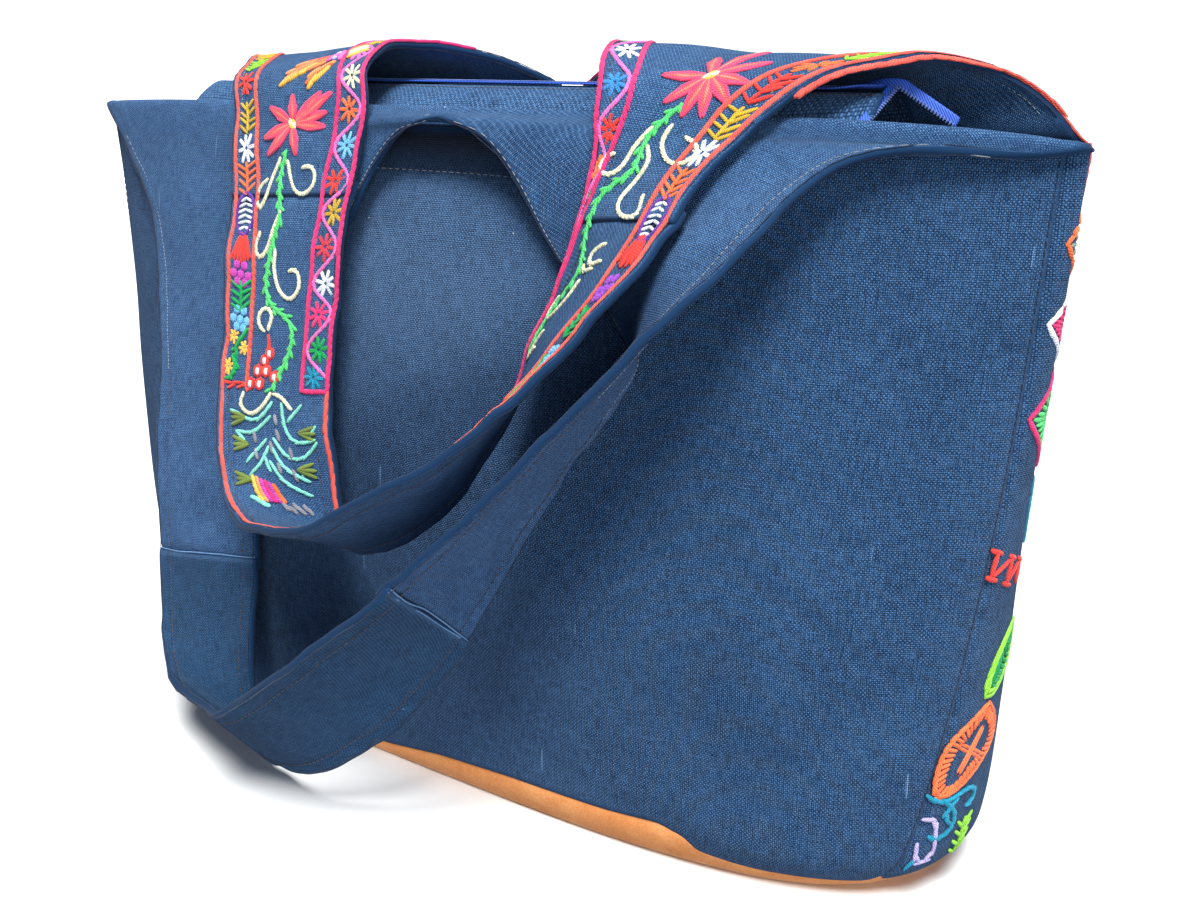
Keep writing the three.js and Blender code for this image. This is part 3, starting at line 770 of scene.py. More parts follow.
@dataclass
class Needlework:
    """A set of stitches sewn on one ground, made as one mesh."""

    name: str
    slot: str
    material: Material
    lift: float  # height of the ground above the cloth's middle
    seed: int = 3
    stitches: list[tuple[Array, ...]] = field(default_factory=list)  # starts, ends, ups, widths and dyes
    rng: np.random.Generator = field(init=False)

    def __post_init__(self) -> None:
        """Seed the small unevenness of hand work."""
        self.rng = np.random.default_rng(self.seed)

    def sew(self, ground: Ground, start: Array, end: Array, yarn: Yarn, width: float,
            loose: float = 0.0) -> None:
        """Add straight stitches.

        Args:
            ground: Turns flat coordinates into points and normals.
            start: Flat coordinates where the stitches come up, one row each.
            end: Flat coordinates where they go down.
            yarn: Their colour.
            width: Their thickness in mm.
            loose: How unevenly they are placed, in mm.
        """
        start, end = np.broadcast_arrays(*(np.atleast_2d(np.asarray(p, float)) for p in (start, end)))
        start = start + self.rng.normal(0, loose, start.shape)
        end = end + self.rng.normal(0, loose, end.shape)
        first, first_up = ground(start[:, 0], start[:, 1])
        last, last_up = ground(end[:, 0], end[:, 1])
        self.stitches.append((
            first + first_up * self.lift, last + last_up * self.lift, unit(first_up + last_up),
            np.full(len(first), width), np.tile(linear(yarn.value), (len(first), 1))))

    def run(self, ground: Ground, path: Path, yarn: Yarn, width: float,
            length: float = 4.2, overlap: float = 0.6, gap: float = 0.0, smooth: bool = True,
            wobble: float = 0.0) -> None:
        """Sew a line of stitches along a path.

        Args:
            ground: Turns flat coordinates into points and normals.
            path: Flat coordinates of the points that the line passes.
            yarn: Its colour.
            width: Its thickness in mm.
            length: Length of one stitch.
            overlap: Share of a stitch that lies beside the one before it.
            gap: Bare cloth between two stitches.
            smooth: Whether the line curves through the points.
            wobble: How far the line strays to either side, in mm.
        """
        line = curve(path) if smooth else resample(np.asarray(path, float), 1.0)
        travelled = travel(line)
        step = unit(np.gradient(line, axis=0))
        stray = wobble * soft_noise(travelled, np.zeros(len(line)), 13, int(self.rng.integers(1000)))
        line = line + np.stack([-step[:, 1], step[:, 0]], -1) * stray[:, None]
        count = max(1, round(travelled[-1] / (length + gap)))
        pitch = travelled[-1] / count
        begin = np.arange(count) * pitch
        finish = np.minimum(begin + (pitch - gap) * (1 + overlap), travelled[-1])
        at = lambda s: np.stack([np.interp(s, travelled, c) for c in line.T], -1)
        start, end = at(begin), at(finish)
        run = end - start
        beside = unit(np.stack([-run[:, 1], run[:, 0]], -1)) * width * 0.2 * (overlap > 0)
        self.sew(ground, start - beside, end + beside, yarn, width)

    def build(self) -> Piece:
        """Make the stitches, each a copy of one padded spindle.

        Returns:
            The finished object.
        """
        bpy.ops.object.select_all(action="DESELECT")
        bpy.ops.mesh.primitive_uv_sphere_add(segments=6, ring_count=5, radius=1)
        piece = bpy.context.object
        spindle = np.array([v.co for v in piece.data.vertices])
        # The sphere lists its points and faces in another order each run, so they are put in one order.
        order = np.lexsort(spindle.round(4).T)
        rank = np.argsort(order)
        spindle = spindle[order]
        loops = [rank[list(p.vertices)].tolist() for p in piece.data.polygons]
        faces = sorted(loop[loop.index(min(loop)):] + loop[:loop.index(min(loop))] for loop in loops)
        spindle[:, :2] *= (np.linalg.norm(spindle[:, :2], axis=1, keepdims=True) + 1e-9) ** -0.35
        start, end, up, width, dye = (np.concatenate(column) for column in zip(*self.stitches))
        count, size = len(start), len(spindle)
        run = end - start
        side = unit(np.cross(up, run))
        middle = (start + end) / 2 + up * (width * 0.12)[:, None]
        half = run * 0.5 + unit(run) * (width * 0.3)[:, None]
        points = (middle[:, None] + spindle[None, :, 2:3] * half[:, None]
                  + spindle[None, :, 0:1] * (side * (width / 2)[:, None])[:, None]
                  + spindle[None, :, 1:2] * (up * (width * 0.36)[:, None])[:, None])
        mesh = bpy.data.meshes.new(self.name)
        shifted = [[v + k * size for v in face] for k in range(count) for face in faces]
        mesh.from_pydata((points.reshape(-1, 3) * MM).tolist(), [], shifted)
        tint = self.rng.uniform(0.84, 1.1, (count, 1))
        colours = np.concatenate([np.clip(dye[:, :3] * tint, 0, 1), np.ones((count, 1))], 1)
        layer = mesh.color_attributes.new("dye", "FLOAT_COLOR", "POINT")
        layer.data.foreach_set("color", np.repeat(colours, size, 0).ravel().astype(np.float32))
        length = np.linalg.norm(half, axis=1)
        around = np.arctan2(spindle[:, 1], spindle[:, 0]) / np.pi
        flat = np.stack([spindle[None, :, 2] * length[:, None], around[None] * width[:, None]], -1)
        corners = np.zeros(len(mesh.loops), int)
        mesh.loops.foreach_get("vertex_index", corners)
        mesh.uv_layers.new(name="UVMap").data.foreach_set("uv", flat.reshape(-1, 2)[corners].ravel())
        plain = piece.data
        piece.data = mesh
        bpy.data.meshes.remove(plain)
        bpy.ops.object.shade_smooth()
        return dress(piece, self.name, self.material)


def resample(path: Array, step: float) -> Array:
    """Points about a step apart along a polyline."""
    travelled = travel(path)
    even = np.linspace(0, travelled[-1], max(2, round(travelled[-1] / step) + 1))
    return np.stack([np.interp(even, travelled, c) for c in path.T], -1)


def curve(path: Path, step: float = 0.6) -> Array:
    """A smooth line through some points.

    Args:
        path: Flat coordinates of the points.
        step: Distance between the points that are returned.

    Returns:
        Points along the line.
    """
    knots = np.asarray(path, float)
    if len(knots) < 3:
        return resample(knots, step)
    padded = np.concatenate([[2 * knots[0] - knots[1]], knots, [2 * knots[-1] - knots[-2]]])
    t = np.linspace(0, 1, 12, endpoint=False)[:, None]
    spans = []
    for a, b, c, d in zip(padded, padded[1:], padded[2:], padded[3:]):
        spans.append(b + 0.5 * t * (c - a + t * (2 * a - 5 * b + 4 * c - d + t * (3 * (b - c) + d - a))))
    return resample(np.concatenate([*spans, knots[-1:]]), step)


@dataclass
class Motifs:
    """Traditional embroidery motifs, sewn in flat coordinates: along the band, then across it."""

    work: Needlework
    ground: Ground
    yarn_width: float = 1.7
    loose: float = 0.35

    def __post_init__(self) -> None:
        """Sew and run stitches on this ground."""
        self.sew, self.run = partial(self.work.sew, self.ground), partial(self.work.run, self.ground)

    def daisy(self, at: Pair, radius: float, yarn: Yarn, petals: int = 8, turn: float = 0.2) -> None:
        """Sew a ring of looped petals."""
        centre, rng = np.array(at, float), self.work.rng
        angles = turn + np.arange(petals) * 2 * np.pi / petals + rng.normal(0, 0.07, petals)
        reach = radius * rng.uniform(0.9, 1.12, petals)[:, None]
        for spread in (-0.15, 0.15):
            tips = np.stack([np.cos(angles + spread * 0.4), np.sin(angles + spread * 0.4)], -1)
            roots = np.stack([np.cos(angles + spread * 2), np.sin(angles + spread * 2)], -1)
            self.sew(centre + roots * radius * 0.16, centre + tips * reach, yarn,
                          self.yarn_width * 0.72)

    def sprig(self, at: Pair, length: float, spread: float, yarn: Yarn, pairs: int = 4,
              up: int = -1) -> None:
        """Sew a stem with slanting leaves on both sides."""
        a, c = at
        self.run([(a - up * length / 2, c), (a + up * length / 2, c)], yarn, self.yarn_width)
        roots = np.linspace(-length / 2, length / 4, pairs)
        for side in (-1, 1):
            start = np.stack([a + up * (roots + side * 0.6), np.full(pairs, c)], -1)
            end = start + np.array([up * length * 0.26, side * spread])
            self.sew(start, end, yarn, self.yarn_width, self.loose)

    def fan(self, at: Pair, length: float, spread: float, yarn: Yarn, rays: int = 7) -> None:
        """Sew long stitches that spread from one point."""
        apex = np.array(at, float) - (length / 2, 0)
        across = np.linspace(-spread, spread, rays)
        tips = np.stack([at[0] + length / 2 - np.abs(across) * 0.35, at[1] + across], -1)
        self.sew(apex + np.stack([np.zeros(rays), across * 0.3], -1), tips, yarn,
                      self.yarn_width * 1.1, self.loose)

    def berry(self, at: Pair, size: float, yarn: Yarn, heart: Yarn | None = None) -> None:
        """Sew a round satin-stitched berry, with a paler heart where a colour is given."""
        a, c = at
        for lean in (-0.3, 0.0, 0.3):
            reach = size * (0.34 if lean else 0.5)
            self.sew((a - reach, c + lean * size), (a + reach, c + lean * size), yarn, size * 0.45)
        if heart:
            self.sew((a - size * 0.2, c), (a + size * 0.24, c), heart, size * 0.5)
            self.sew((a - size * 0.16, c), (a + size * 0.2, c), heart, size * 0.56)

    def cluster(self, at: Pair, rows: Sequence[int], size: float, yarn: Yarn) -> None:
        """Sew rows of berries that lean to one side."""
        for r, count in enumerate(rows):
            for k in range(count):
                a = at[0] + (r - (len(rows) - 1) / 2) * size + (k - 1) * 0.8
                c = at[1] + (k - (count - 1) / 2) * size * 1.15
                self.berry((a, c), size, yarn)

    def leaf(self, at: Pair, length: float, half: float, rim: Yarn, fill: Yarn,
             turn: float = 0.0, ribs: int = 6) -> None:
        """Sew a pointed leaf with an outline and slanting fill on both sides of its vein."""
        t = np.linspace(0, np.pi, 9)
        across, lengthwise = np.sin(t) * half, -np.cos(t) * length / 2
        spin = np.array([[np.cos(turn), np.sin(turn)], [-np.sin(turn), np.cos(turn)]])
        place = lambda a, c: np.array(at) + np.stack([np.asarray(a), np.asarray(c)], -1) @ spin
        for side in (-1, 1):
            self.run(place(lengthwise, side * across), rim, self.yarn_width, wobble=0.3)
            spots = np.linspace(-length * 0.34, length * 0.3, ribs)
            reach = half * 0.78 * np.sqrt(np.maximum(0, 1 - (2 * spots / length) ** 2))
            self.sew(place(spots, np.zeros(ribs)), place(spots + length * 0.06, side * reach),
                          fill, self.yarn_width * 0.9, self.loose * 0.5)

    def outlined(self, corners: Sequence[Pair], rim: Yarn, fill: Yarn, rays: int) -> None:
        """Sew a closed outline with stitches that spread inside it from its middle."""
        loop = np.array([*corners, corners[0]], float)
        self.run(loop, rim, self.yarn_width * 1.15, smooth=False, wobble=0.3)
        middle = loop[:-1].mean(0)
        line = resample(loop, 0.5)
        ends = line[np.linspace(0, len(line) - 1, rays, endpoint=False).astype(int)]
        for ray in ends - middle:
            self.run([middle + ray * 0.12, middle + ray * 0.86], fill, self.yarn_width, length=3.2)

    def blanket_leaf(self, corners: Sequence[Pair], yarn: Yarn, tick: float, pitch: float) -> None:
        """Sew a closed curved outline with short stitches inward and a cross at its middle."""
        loop = np.array([*corners, corners[0]], float)
        self.run(loop, yarn, self.yarn_width * 1.1)
        line = resample(curve(loop), pitch)[:-1]
        middle = line.mean(0)
        inward = unit(middle - line)
        self.sew(line, line + inward * tick, yarn, self.yarn_width * 0.95, self.loose * 0.4)
        long_axis, short_axis = unit(np.array([[1.0, 0.75], [-0.6, 1.0]]))
        for axis, reach in ((long_axis, tick * 1.9), (short_axis, tick * 1.7)):
            for offset in (-0.8, 0.8):
                beside = np.array([-axis[1], axis[0]]) * offset
                self.sew(middle - axis * reach + beside, middle + axis * reach + beside, yarn,
                              self.yarn_width)

    def vine(self, path: Path, yarn: Yarn, barb: float = 3.8) -> None:
        """Sew a feathered stem: a line with short barbs that alternate sides."""
        self.run(path, yarn, self.yarn_width * 1.15, length=4.5)
        line = resample(curve(path), 2.7)
        step = unit(np.gradient(line, axis=0))
        normal = np.stack([-step[:, 1], step[:, 0]], -1)
        side = np.where(np.arange(len(line)) % 2, 1.0, -1.0)[:, None]
        self.sew(line, line + step * barb * 0.75 + normal * side * barb * 0.5, yarn,
                      self.yarn_width, self.loose * 0.6)

    def bloom(self, at: Pair, tips: Sequence[Pair]) -> None:
        """Sew the large pink flower: pointed petals with a paler heart, round a cream knot."""
        centre = np.array(at, float)
        for tip in tips:
            reach = float(np.hypot(*tip))
            ray = np.array(tip, float) / reach
            beside = np.array([-ray[1], ray[0]])
            for offset, yarn, share in (
                    (-2.1, Yarn.ROSE, 1.0), (2.1, Yarn.ROSE, 1.0), (-1.3, Yarn.CORAL, 0.94),
                    (1.3, Yarn.ROSE, 0.94), (-0.5, Yarn.SALMON, 0.8), (0.5, Yarn.CORAL, 0.9)):
                root = centre + ray * 2.2 + beside * offset * 0.35
                belly = centre + ray * reach * 0.55 * share + beside * offset
                end = centre + ray * reach * share + beside * offset * 0.15
                self.sew([root, belly - ray * 2], [belly + ray, end], yarn, self.yarn_width * 1.1)
        for k in range(7):
            spin = np.array([np.cos(k * 0.9), np.sin(k * 0.9)]) * 1.3
            self.sew(centre + spin - 0.9, centre + spin + 0.9, Yarn.YELLOW if k % 3 == 0 else Yarn.CREAM,
                          self.yarn_width * 1.1, 0.2)

    def strands(self, table: Sequence[Strand], width: float) -> None:
        """Sew long padded stitches."""
        for strand in table:
            self.run([strand.root, strand.tip], strand.yarn, width, length=9.0, overlap=0.45)


class LaneSpot(NamedTuple):
    """A small motif of an embroidered lane and its distance past the cross seam."""

    kind: str
    yarn: Yarn
    along: float


LEFT_OUTER_LANE = tuple(LaneSpot(*spot) for spot in (
    ("sprig", Yarn.CORAL, -104), ("daisy", Yarn.WHITE, -90), ("sprig", Yarn.MUSTARD, -76),
    ("sprig", Yarn.LIME, -62), ("daisy", Yarn.RED, -48), ("sprig", Yarn.MUSTARD, -33),
    ("daisy", Yarn.WHITE, -20), ("sprig", Yarn.ORANGE, -8), ("leaf", Yarn.PURPLE, 7),
    ("fan", Yarn.RED, 22), ("berries", Yarn.MAGENTA, 33), ("sprig", Yarn.LEAF, 42),
    ("berries", Yarn.SKY, 52),
))
RIGHT_OUTER_LANE = tuple(LaneSpot(*spot) for spot in (
    ("daisy", Yarn.WHITE, -98), ("sprig", Yarn.LIME, -83), ("daisy", Yarn.ORANGE, -69),
    ("sprig", Yarn.RED, -55), ("sprig", Yarn.MUSTARD, -40), ("daisy", Yarn.WHITE, -28),
    ("sprig", Yarn.ORANGE, -15), ("leaf", Yarn.PURPLE, -1), ("fan", Yarn.RED, 12),
    ("berries", Yarn.VIOLET, 27), ("sprig", Yarn.LEAF, 41), ("berries", Yarn.SKY, 57),
))
LEFT_INNER_LANE = tuple(LaneSpot("daisy", *spot) for spot in (
    (Yarn.SKY, -93), (Yarn.MUSTARD, -79), (Yarn.PINK, -65), (Yarn.CREAM, -50), (Yarn.ORANGE, -36),
    (Yarn.SKY, -21), (Yarn.RED, -6), (Yarn.MUSTARD, 7), (Yarn.CRIMSON, 21), (Yarn.WHITE, 36),
    (Yarn.HOT_PINK, 49), (Yarn.LEAF, 64), (Yarn.TEAL, 76),
))
RIGHT_INNER_LANE = tuple(LaneSpot("daisy", *spot) for spot in (
    (Yarn.CRIMSON, -104), (Yarn.LEAF, -88), (Yarn.WHITE, -72), (Yarn.BLUE, -54), (Yarn.RED, -36),
    (Yarn.ORANGE, -21), (Yarn.LEAF, -7), (Yarn.YELLOW, 7), (Yarn.CRIMSON, 21), (Yarn.SKY, 36),
    (Yarn.MUSTARD, 50), (Yarn.TEAL, 64),
))
LEFT_PETALS = ((-13, 23), (-13, 17), (1, 19), (13, 4), (13, -15), (6, -18), (-7, -14), (-12, 0), (-5, 20))
RIGHT_PETALS = ((-24, -5), (-10, -16), (3, -16), (12, -14), (17, -6), (17, 2), (12, 11), (1, 18), (-16, 9))
FEATHER = tuple(Strand(*row) for row in (
    (Yarn.YELLOW, (-57, 14), (-46, -7)), (Yarn.PEACH, (-58, 18), (-49, -4)),
    (Yarn.PEACH, (-60, 18), (-52, -4)), (Yarn.ORANGE, (-60, 20), (-54, -1)),
    (Yarn.PEACH, (-62, 20), (-57, 0)), (Yarn.CORAL, (-62, 22), (-59, 5)),
    (Yarn.YELLOW, (-55, 22), (-45, 10)), (Yarn.ORANGE, (-57, 23), (-47, 9)),
    (Yarn.PEACH, (-58, 24), (-50, 10)), (Yarn.PINK, (-63, 24), (-60, 18)),
    (Yarn.LAVENDER, (-65, 24), (-61, 21)), (Yarn.PINK, (-66, 26), (-60, 25)),
    (Yarn.CREAM, (-63, 30), (-68, 38)), (Yarn.CREAM, (-65, 29), (-70, 37)),
    (Yarn.YELLOW, (-61, 30), (-66, 39)), (Yarn.ORANGE, (-67, 29), (-72, 36)),
))


@dataclass
class Band:
    """One embroidered arm of the back handle, with distances that count from its cross seam."""

    form: HandleForm
    seam: float
    way: int  # 1 where the handle's length runs away from the root, -1 where it runs toward it
    lane_end: float  # where the two lanes close, past the seam
    curl: Pair | None = None  # where the inner lane starts and ends to turn under
    full: float = 66.0  # width of the handle when it lies flat
    narrow: float = 0.14  # share of the inner lane that still shows where it has turned under
    lanes: dict[Edge, Pair] = field(default_factory=lambda: {
        Edge.OUTER: (4.3, 19.1), Edge.INNER: (0.6, 15.2)})

    def ground(self, edge: Edge) -> Ground:
        """The band as a ground for stitches, measured from one edge or from its middle."""
        def lay(a: Array, c: Array) -> Laid:
            a, c = np.asarray(a, float), np.asarray(c, float)
            arc = np.clip(self.seam + self.way * a, 0, self.form.arcs[-1])
            width = self.form.width(arc)
            if edge is Edge.MIDDLE:
                return self.form.surface(arc, np.clip(0.5 + c / width, 0.01, 0.99))
            c = c * np.minimum(width, self.full) / self.full
            if edge is Edge.OUTER:
                return self.form.surface(arc, np.clip(c / width, 0, 1))
            if self.curl:
                start, end = self.curl
                c = c * (1 - (1 - self.narrow) * smooth_step((a - start) / (end - start)))
            return self.form.surface(arc, np.clip(1 - c / width, 0, 1))
        return lay

    def rim(self, a: Array, c: Array) -> Laid:
        """The band's outer edge as a ground for a line whipped over it."""
        arc = np.clip(self.seam + self.way * np.asarray(a, float), 0, self.form.arcs[-1])
        points, normal = self.form.surface(arc, np.zeros_like(arc))
        inner, _ = self.form.surface(arc, np.full_like(arc, 0.03))
        return points + unit(points - inner) * c[:, None], unit(unit(points - inner) + normal * 0.5)

    def root(self) -> float:
        """Distance of the root from the seam, as a negative number."""
        return -self.seam if self.way > 0 else self.seam - self.form.arcs[-1]


class SunLamp(NamedTuple):
    """A broad soft light: the direction that it comes from, its apparent width and its strength."""

    name: str
    source: tuple[float, float, float]
    spread: float
    strength: float


@dataclass
class Studio:
    """Floor, lights and camera."""

    focus: tuple[float, float, float] = (0.0, 0.0, 140.0)
    azimuth: float = 37.01
    pitch: float = 15.72
    distance: float = 649.0
    shift_right: float = 37.4
    shift_up: float = -5.0
    focal_pixels: float = 1441.0
    image_width: int = 1200
    sensor: float = 36.0
    lamps: tuple[SunLamp, ...] = (
        SunLamp("key", (0.36, -0.46, 1.0), 24.0, 4.2),
        SunLamp("bounce", (0.7, -0.5, -0.6), 60.0, 0.7),
        SunLamp("top", (0.1, 0.25, 1.0), 60.0, 1.1),
        SunLamp("fill", (0.9, -0.7, 0.05), 44.0, 1.5),
    )

    def build(self) -> None:
        """Make the stage, the lights and the camera."""
        self._floor()
        self._world()
        for lamp in self.lamps:
            self._lamp(lamp)
        self._camera()

    def _floor(self) -> None:
        """Add a wide round floor that fades into the pale surroundings."""
        bpy.ops.object.select_all(action="DESELECT")
        bpy.ops.mesh.primitive_circle_add(vertices=96, radius=30, fill_type="NGON")
        floor = bpy.context.object
        floor.name = "studio_floor"
        material, _, shader = start_material("pale_floor")
        feed(shader, {"Base Color": linear("f0f0ee"), "Roughness": 0.95, "Specular IOR Level": 0.0})
        floor.data.materials.append(material)
        floor.visible_diffuse = floor.visible_shadow = False

    def _world(self) -> None:
        """Add surroundings that are pale round the horizon and dimmer above and below."""
        world = bpy.data.worlds.new("pale_studio")
        world.use_nodes = True
        tree = world.node_tree
        add = partial(add_node, tree)
        rise = add("SeparateXYZ", {0: add("TexCoord", {}, "Generated")}, "Z")
        level = add("MapRange", {0: rise, 1: -1.0, 2: 1.0})
        feed(tree.nodes["Background"], {0: add("ValToRGB", {0: level}, stops=(
            (0.46, "435673"), (0.495, "ffffff"), (0.515, "ffffff"), (0.58, "3a485e")))})
        bpy.context.scene.world = world

    def _lamp(self, lamp: SunLamp) -> None:
        """Add one soft light."""
        light = bpy.data.lights.new(lamp.name, "SUN")
        light.energy, light.angle = lamp.strength, math.radians(lamp.spread)
        holder = bpy.data.objects.new(lamp.name, light)
        bpy.context.scene.collection.objects.link(holder)
        holder.location = lamp.source
        holder.rotation_euler = (-Vector(lamp.source)).to_track_quat("-Z", "Y").to_euler()

    def _camera(self) -> None:
        """Add the camera at the fitted place."""
        turn, tip = math.radians(self.azimuth), math.radians(self.pitch)
        forward = Vector((-math.sin(turn) * math.cos(tip), math.cos(turn) * math.cos(tip), -math.sin(tip)))
        right = Vector((math.cos(turn), math.sin(turn), 0))
        up = right.cross(forward)
        place = Vector(self.focus) - forward * self.distance + right * self.shift_right + up * self.shift_up
        data = bpy.data.cameras.new("camera")
        data.sensor_width = self.sensor
        data.lens = self.focal_pixels * self.sensor / self.image_width
        data.clip_start, data.clip_end = 0.05, 80
        camera = bpy.data.objects.new("camera", data)
        bpy.context.scene.collection.objects.link(camera)
        facing = Matrix((right, up, -forward)).transposed().to_4x4()
        camera.matrix_world = Matrix.Translation(place * MM) @ facing
        bpy.context.scene.camera = camera


class Finishes:
    """The bag's materials."""

    def __init__(self) -> None:
        """Build every material once."""
        self.canvas = CanvasFinish("navy_handwoven_canvas").material()
        self.faded = CanvasFinish(
            "navy_canvas_faded", deep="122d52", mid="385b82", light="618ab6").material()
        self.fresh = CanvasFinish(
            "navy_canvas_less_faded", deep="081f3a", mid="1e4566", light="426c94").material()
        self.ribbed = CanvasFinish(
            "navy_ribbed_canvas", mid="385b82", light="618ab6", thread=1.15, relief=1.2).material()
        self.suede = SuedeFinish("tan_suede").material()
        self.yarn = YarnFinish("embroidery_yarn").material()
        self.thread = YarnFinish("sewing_thread", strand=0.3, roughness=0.6).material()
        self.tape = TapeFinish("violet_zip_tape").material()
        self.cast = CastFinish("antique_cast_metal").material()


class SeamHeight(NamedTuple):
    """Height of the seam between suede and canvas at an x on the plain side."""

    x: float
    z: float


FRONT_SEAM = tuple(SeamHeight(*row) for row in (
    (-240, 7), (-60, 6), (-30, 7), (10, 12), (55, 14.5), (110, 15.5), (138, 17.5), (150, 14.5), (160, 8.5),
    (177, 6.5), (240, 6.5)))
END_SEAM = 6.5  # the same seam round the ends and the other side
FACING = ((-60, 262), (20, 261.5), (90, 260))  # x and height of the stitches under the neckline


class Crease(NamedTuple):
    """A soft fold of the plain side: its middle, its slope, its length, its half width and its depth."""

    x: float
    z: float
    slope: float
    length: float
    width: float
    depth: float


FRONT_CREASES = tuple(Crease(*row) for row in (
    (178, 110, -0.4, 46, 4, 0.7), (166, 118, -0.4, 40, 4, 0.6), (196, 98, -0.35, 44, 4, 0.6),
    (150, 126, -0.3, 60, 8, 0.7), (120, 56, 0.2, 130, 24, 2.6), (14, 268, -0.02, 112, 10, 8.0),
    (-40, 110, 0.9, 120, 22, 2.0), (60, 150, -0.15, 150, 30, 2.0)))


@dataclass
class BodyPanels:
    """The two panels, the two gussets and the suede base."""

    form: BodyForm
    finishes: Finishes
    canvas: float = 2.0
    suede: float = 2.4
    tuck: float = 1.6  # how far a piece sinks where it goes under its neighbour
    lap: float = 3.5  # how far it goes under
    # height, upright stretch and size of the loose cloth's waves
    waves: tuple[tuple[float, float, float], ...] = ((1.8, 0.6, 70.0), (0.7, 0.7, 28.0))
    pale_patch: tuple[Pair, Pair] = ((2.0, 80.0), (217.0, 42.0))  # paler cloth: x and width, height and reach
    shade: float = 15.0  # from the stitches under the neckline up to the darkest painted shadow
    cells: dict[Side, float] = field(default_factory=lambda: {Side.FRONT: 4.2, Side.BACK: 6.0})

    def build(self) -> list[Piece]:
        """Make every piece of the body.

        Returns:
            The cloth pieces.
        """
        return [*(self._panel(side) for side in Side), *(self._gusset(end) for end in End),
                self._base(), self._topstitch()]

    def seam_height(self, side: Side, x: Array) -> Array:
        """Height of the suede's upper edge."""
        if side is Side.BACK:
            return np.full(np.shape(x), END_SEAM)
        return np.interp(x, [s.x for s in FRONT_SEAM], [s.z for s in FRONT_SEAM])

    def _panel(self, side: Side) -> Piece:
        """Make one panel, from the suede to the mouth."""
        form, cell = self.form, self.cells[side]
        columns, rows = round(520 / cell), round(form.height / cell)
        part, rise = np.meshgrid(np.linspace(0, 1, columns + 1), np.linspace(0, 1, rows + 1))
        level = np.full_like(part, 12.0)
        low = self.seam_height(side, form.skin(side, part * form.length(side, level), level)[..., 0])
        z = low + (form.height - low) * rise
        margin = form.column("gusset", z)
        distance = margin + (form.length(side, z) - 2 * margin) * part
        points = form.skin(side, distance, z)
        flat = np.stack([distance - form.length(side, z) / 2, z], -1)
        across, upward = np.gradient(points, axis=1), np.gradient(points, axis=0)
        normal = unit(np.cross(across, upward)) * side.value
        points = points + normal * self._slack(side, points, flat, part, rise)[..., None]
        edge = np.minimum(part, 1 - part) * form.length(side, z)
        wear = 0.3 * np.exp(-(((edge - 1) / 1.6) ** 2)) + 0.25 * np.exp(-(((z - low) / 2.5) ** 2))
        if side is Side.FRONT:
            facing = np.interp(points[..., 0], *zip(*FACING))
            # A paler patch of cloth below the neckline, mixed towards the worn colour.
            (patch_x, patch_width), (patch_z, patch_height) = self.pale_patch
            pale_patch = np.exp(-(((points[..., 0] - patch_x) / patch_width) ** 2)
                            - ((points[..., 2] - patch_z) / patch_height) ** 2)
            # Painted shadow under the front neckline: half dark at the facing's stitches, darkest above
            # them, fading out to the sides.
            above = points[..., 2] - facing
            painted_shadow = smooth_step((above + 1) / 3) * (0.5 + 0.5 * smooth_step(above / self.shade))
            painted_shadow = painted_shadow * smooth_step((110 - np.abs(points[..., 0] - NECK)) / 25)
            wear = (wear + 0.4 * pale_patch) * (1 - painted_shadow) - painted_shadow
        points = points - normal * (0.9 * smooth_step(1 - edge / 2.2))[..., None]
        patch = Patch(points, flat, np.full_like(edge, FAR), wear)
        if side is Side.FRONT:
            patch = patch.turned(1)
        name = f"{side.name.lower()}_panel"
        piece = Cloth(f"{name}_cloth", name, "canvas", self.canvas, [patch], self.finishes.canvas).build()
        return piece

    def _slack(self, side: Side, points: Array, flat: Array, part: Array, rise: Array) -> Array:
        """How far the loose cloth stands out from its form."""
        calm = smooth_step(np.minimum(part, 1 - part) / 0.06)
        calm = calm * smooth_step(np.minimum(rise, 1 - rise) / 0.05)
        u, v = flat[..., 0], flat[..., 1]
        seed = 11 if side is Side.FRONT else 31
        slack = 0.0
        for k, (height, stretch, size) in enumerate(self.waves):
            slack = slack + height * soft_noise(u, v * stretch, size, seed + k)
        if side is Side.FRONT:
            slack = slack + self._creased(points[..., 0], points[..., 2])
        return calm * slack

    def _creased(self, x: Array, z: Array) -> Array:
        """How far the creases of the plain side stand out."""
        total = np.zeros(np.shape(x))
        for crease in FRONT_CREASES:
            run = np.array([1, crease.slope]) / np.hypot(1, crease.slope)
            dx, dz = x - crease.x, z - crease.z
            lengthwise, across = dx * run[0] + dz * run[1], dz * run[0] - dx * run[1]
            fade = np.exp(-((2 * lengthwise / crease.length) ** 2))
            valley = np.exp(-((across / crease.width) ** 2))
            ridge = np.exp(-((across / crease.width - 1.7) ** 2))
            total = total + crease.depth * fade * (0.6 * ridge - valley)
        return total

    def _gusset(self, end: End) -> Piece:
        """Make one side gusset, whose long edges go under the panels."""
        form = self.form
        columns, rows = 22, round(form.height / 5)
        part, rise = np.meshgrid(np.linspace(-1, 1, columns + 1), np.linspace(0, 1, rows + 1))
        z = END_SEAM + (form.height - END_SEAM) * rise
        half = form.column("gusset", z)
        reach = (half + self.lap) * part
        points, normal = form.end_skin(end, reach, z)
        inside = half - np.abs(reach)
        points = points - normal * (self.tuck * smooth_step((1.5 - inside) / 3))[..., None]
        patch = plain_patch(points, np.stack([reach, z], -1))
        if end is End.LEFT:
            patch = patch.turned(1)
        name = f"side_gusset_{end.name.lower()}"
        piece = Cloth(f"{name}_cloth", name, "canvas", self.canvas, [patch], self.finishes.canvas).build()
        return piece

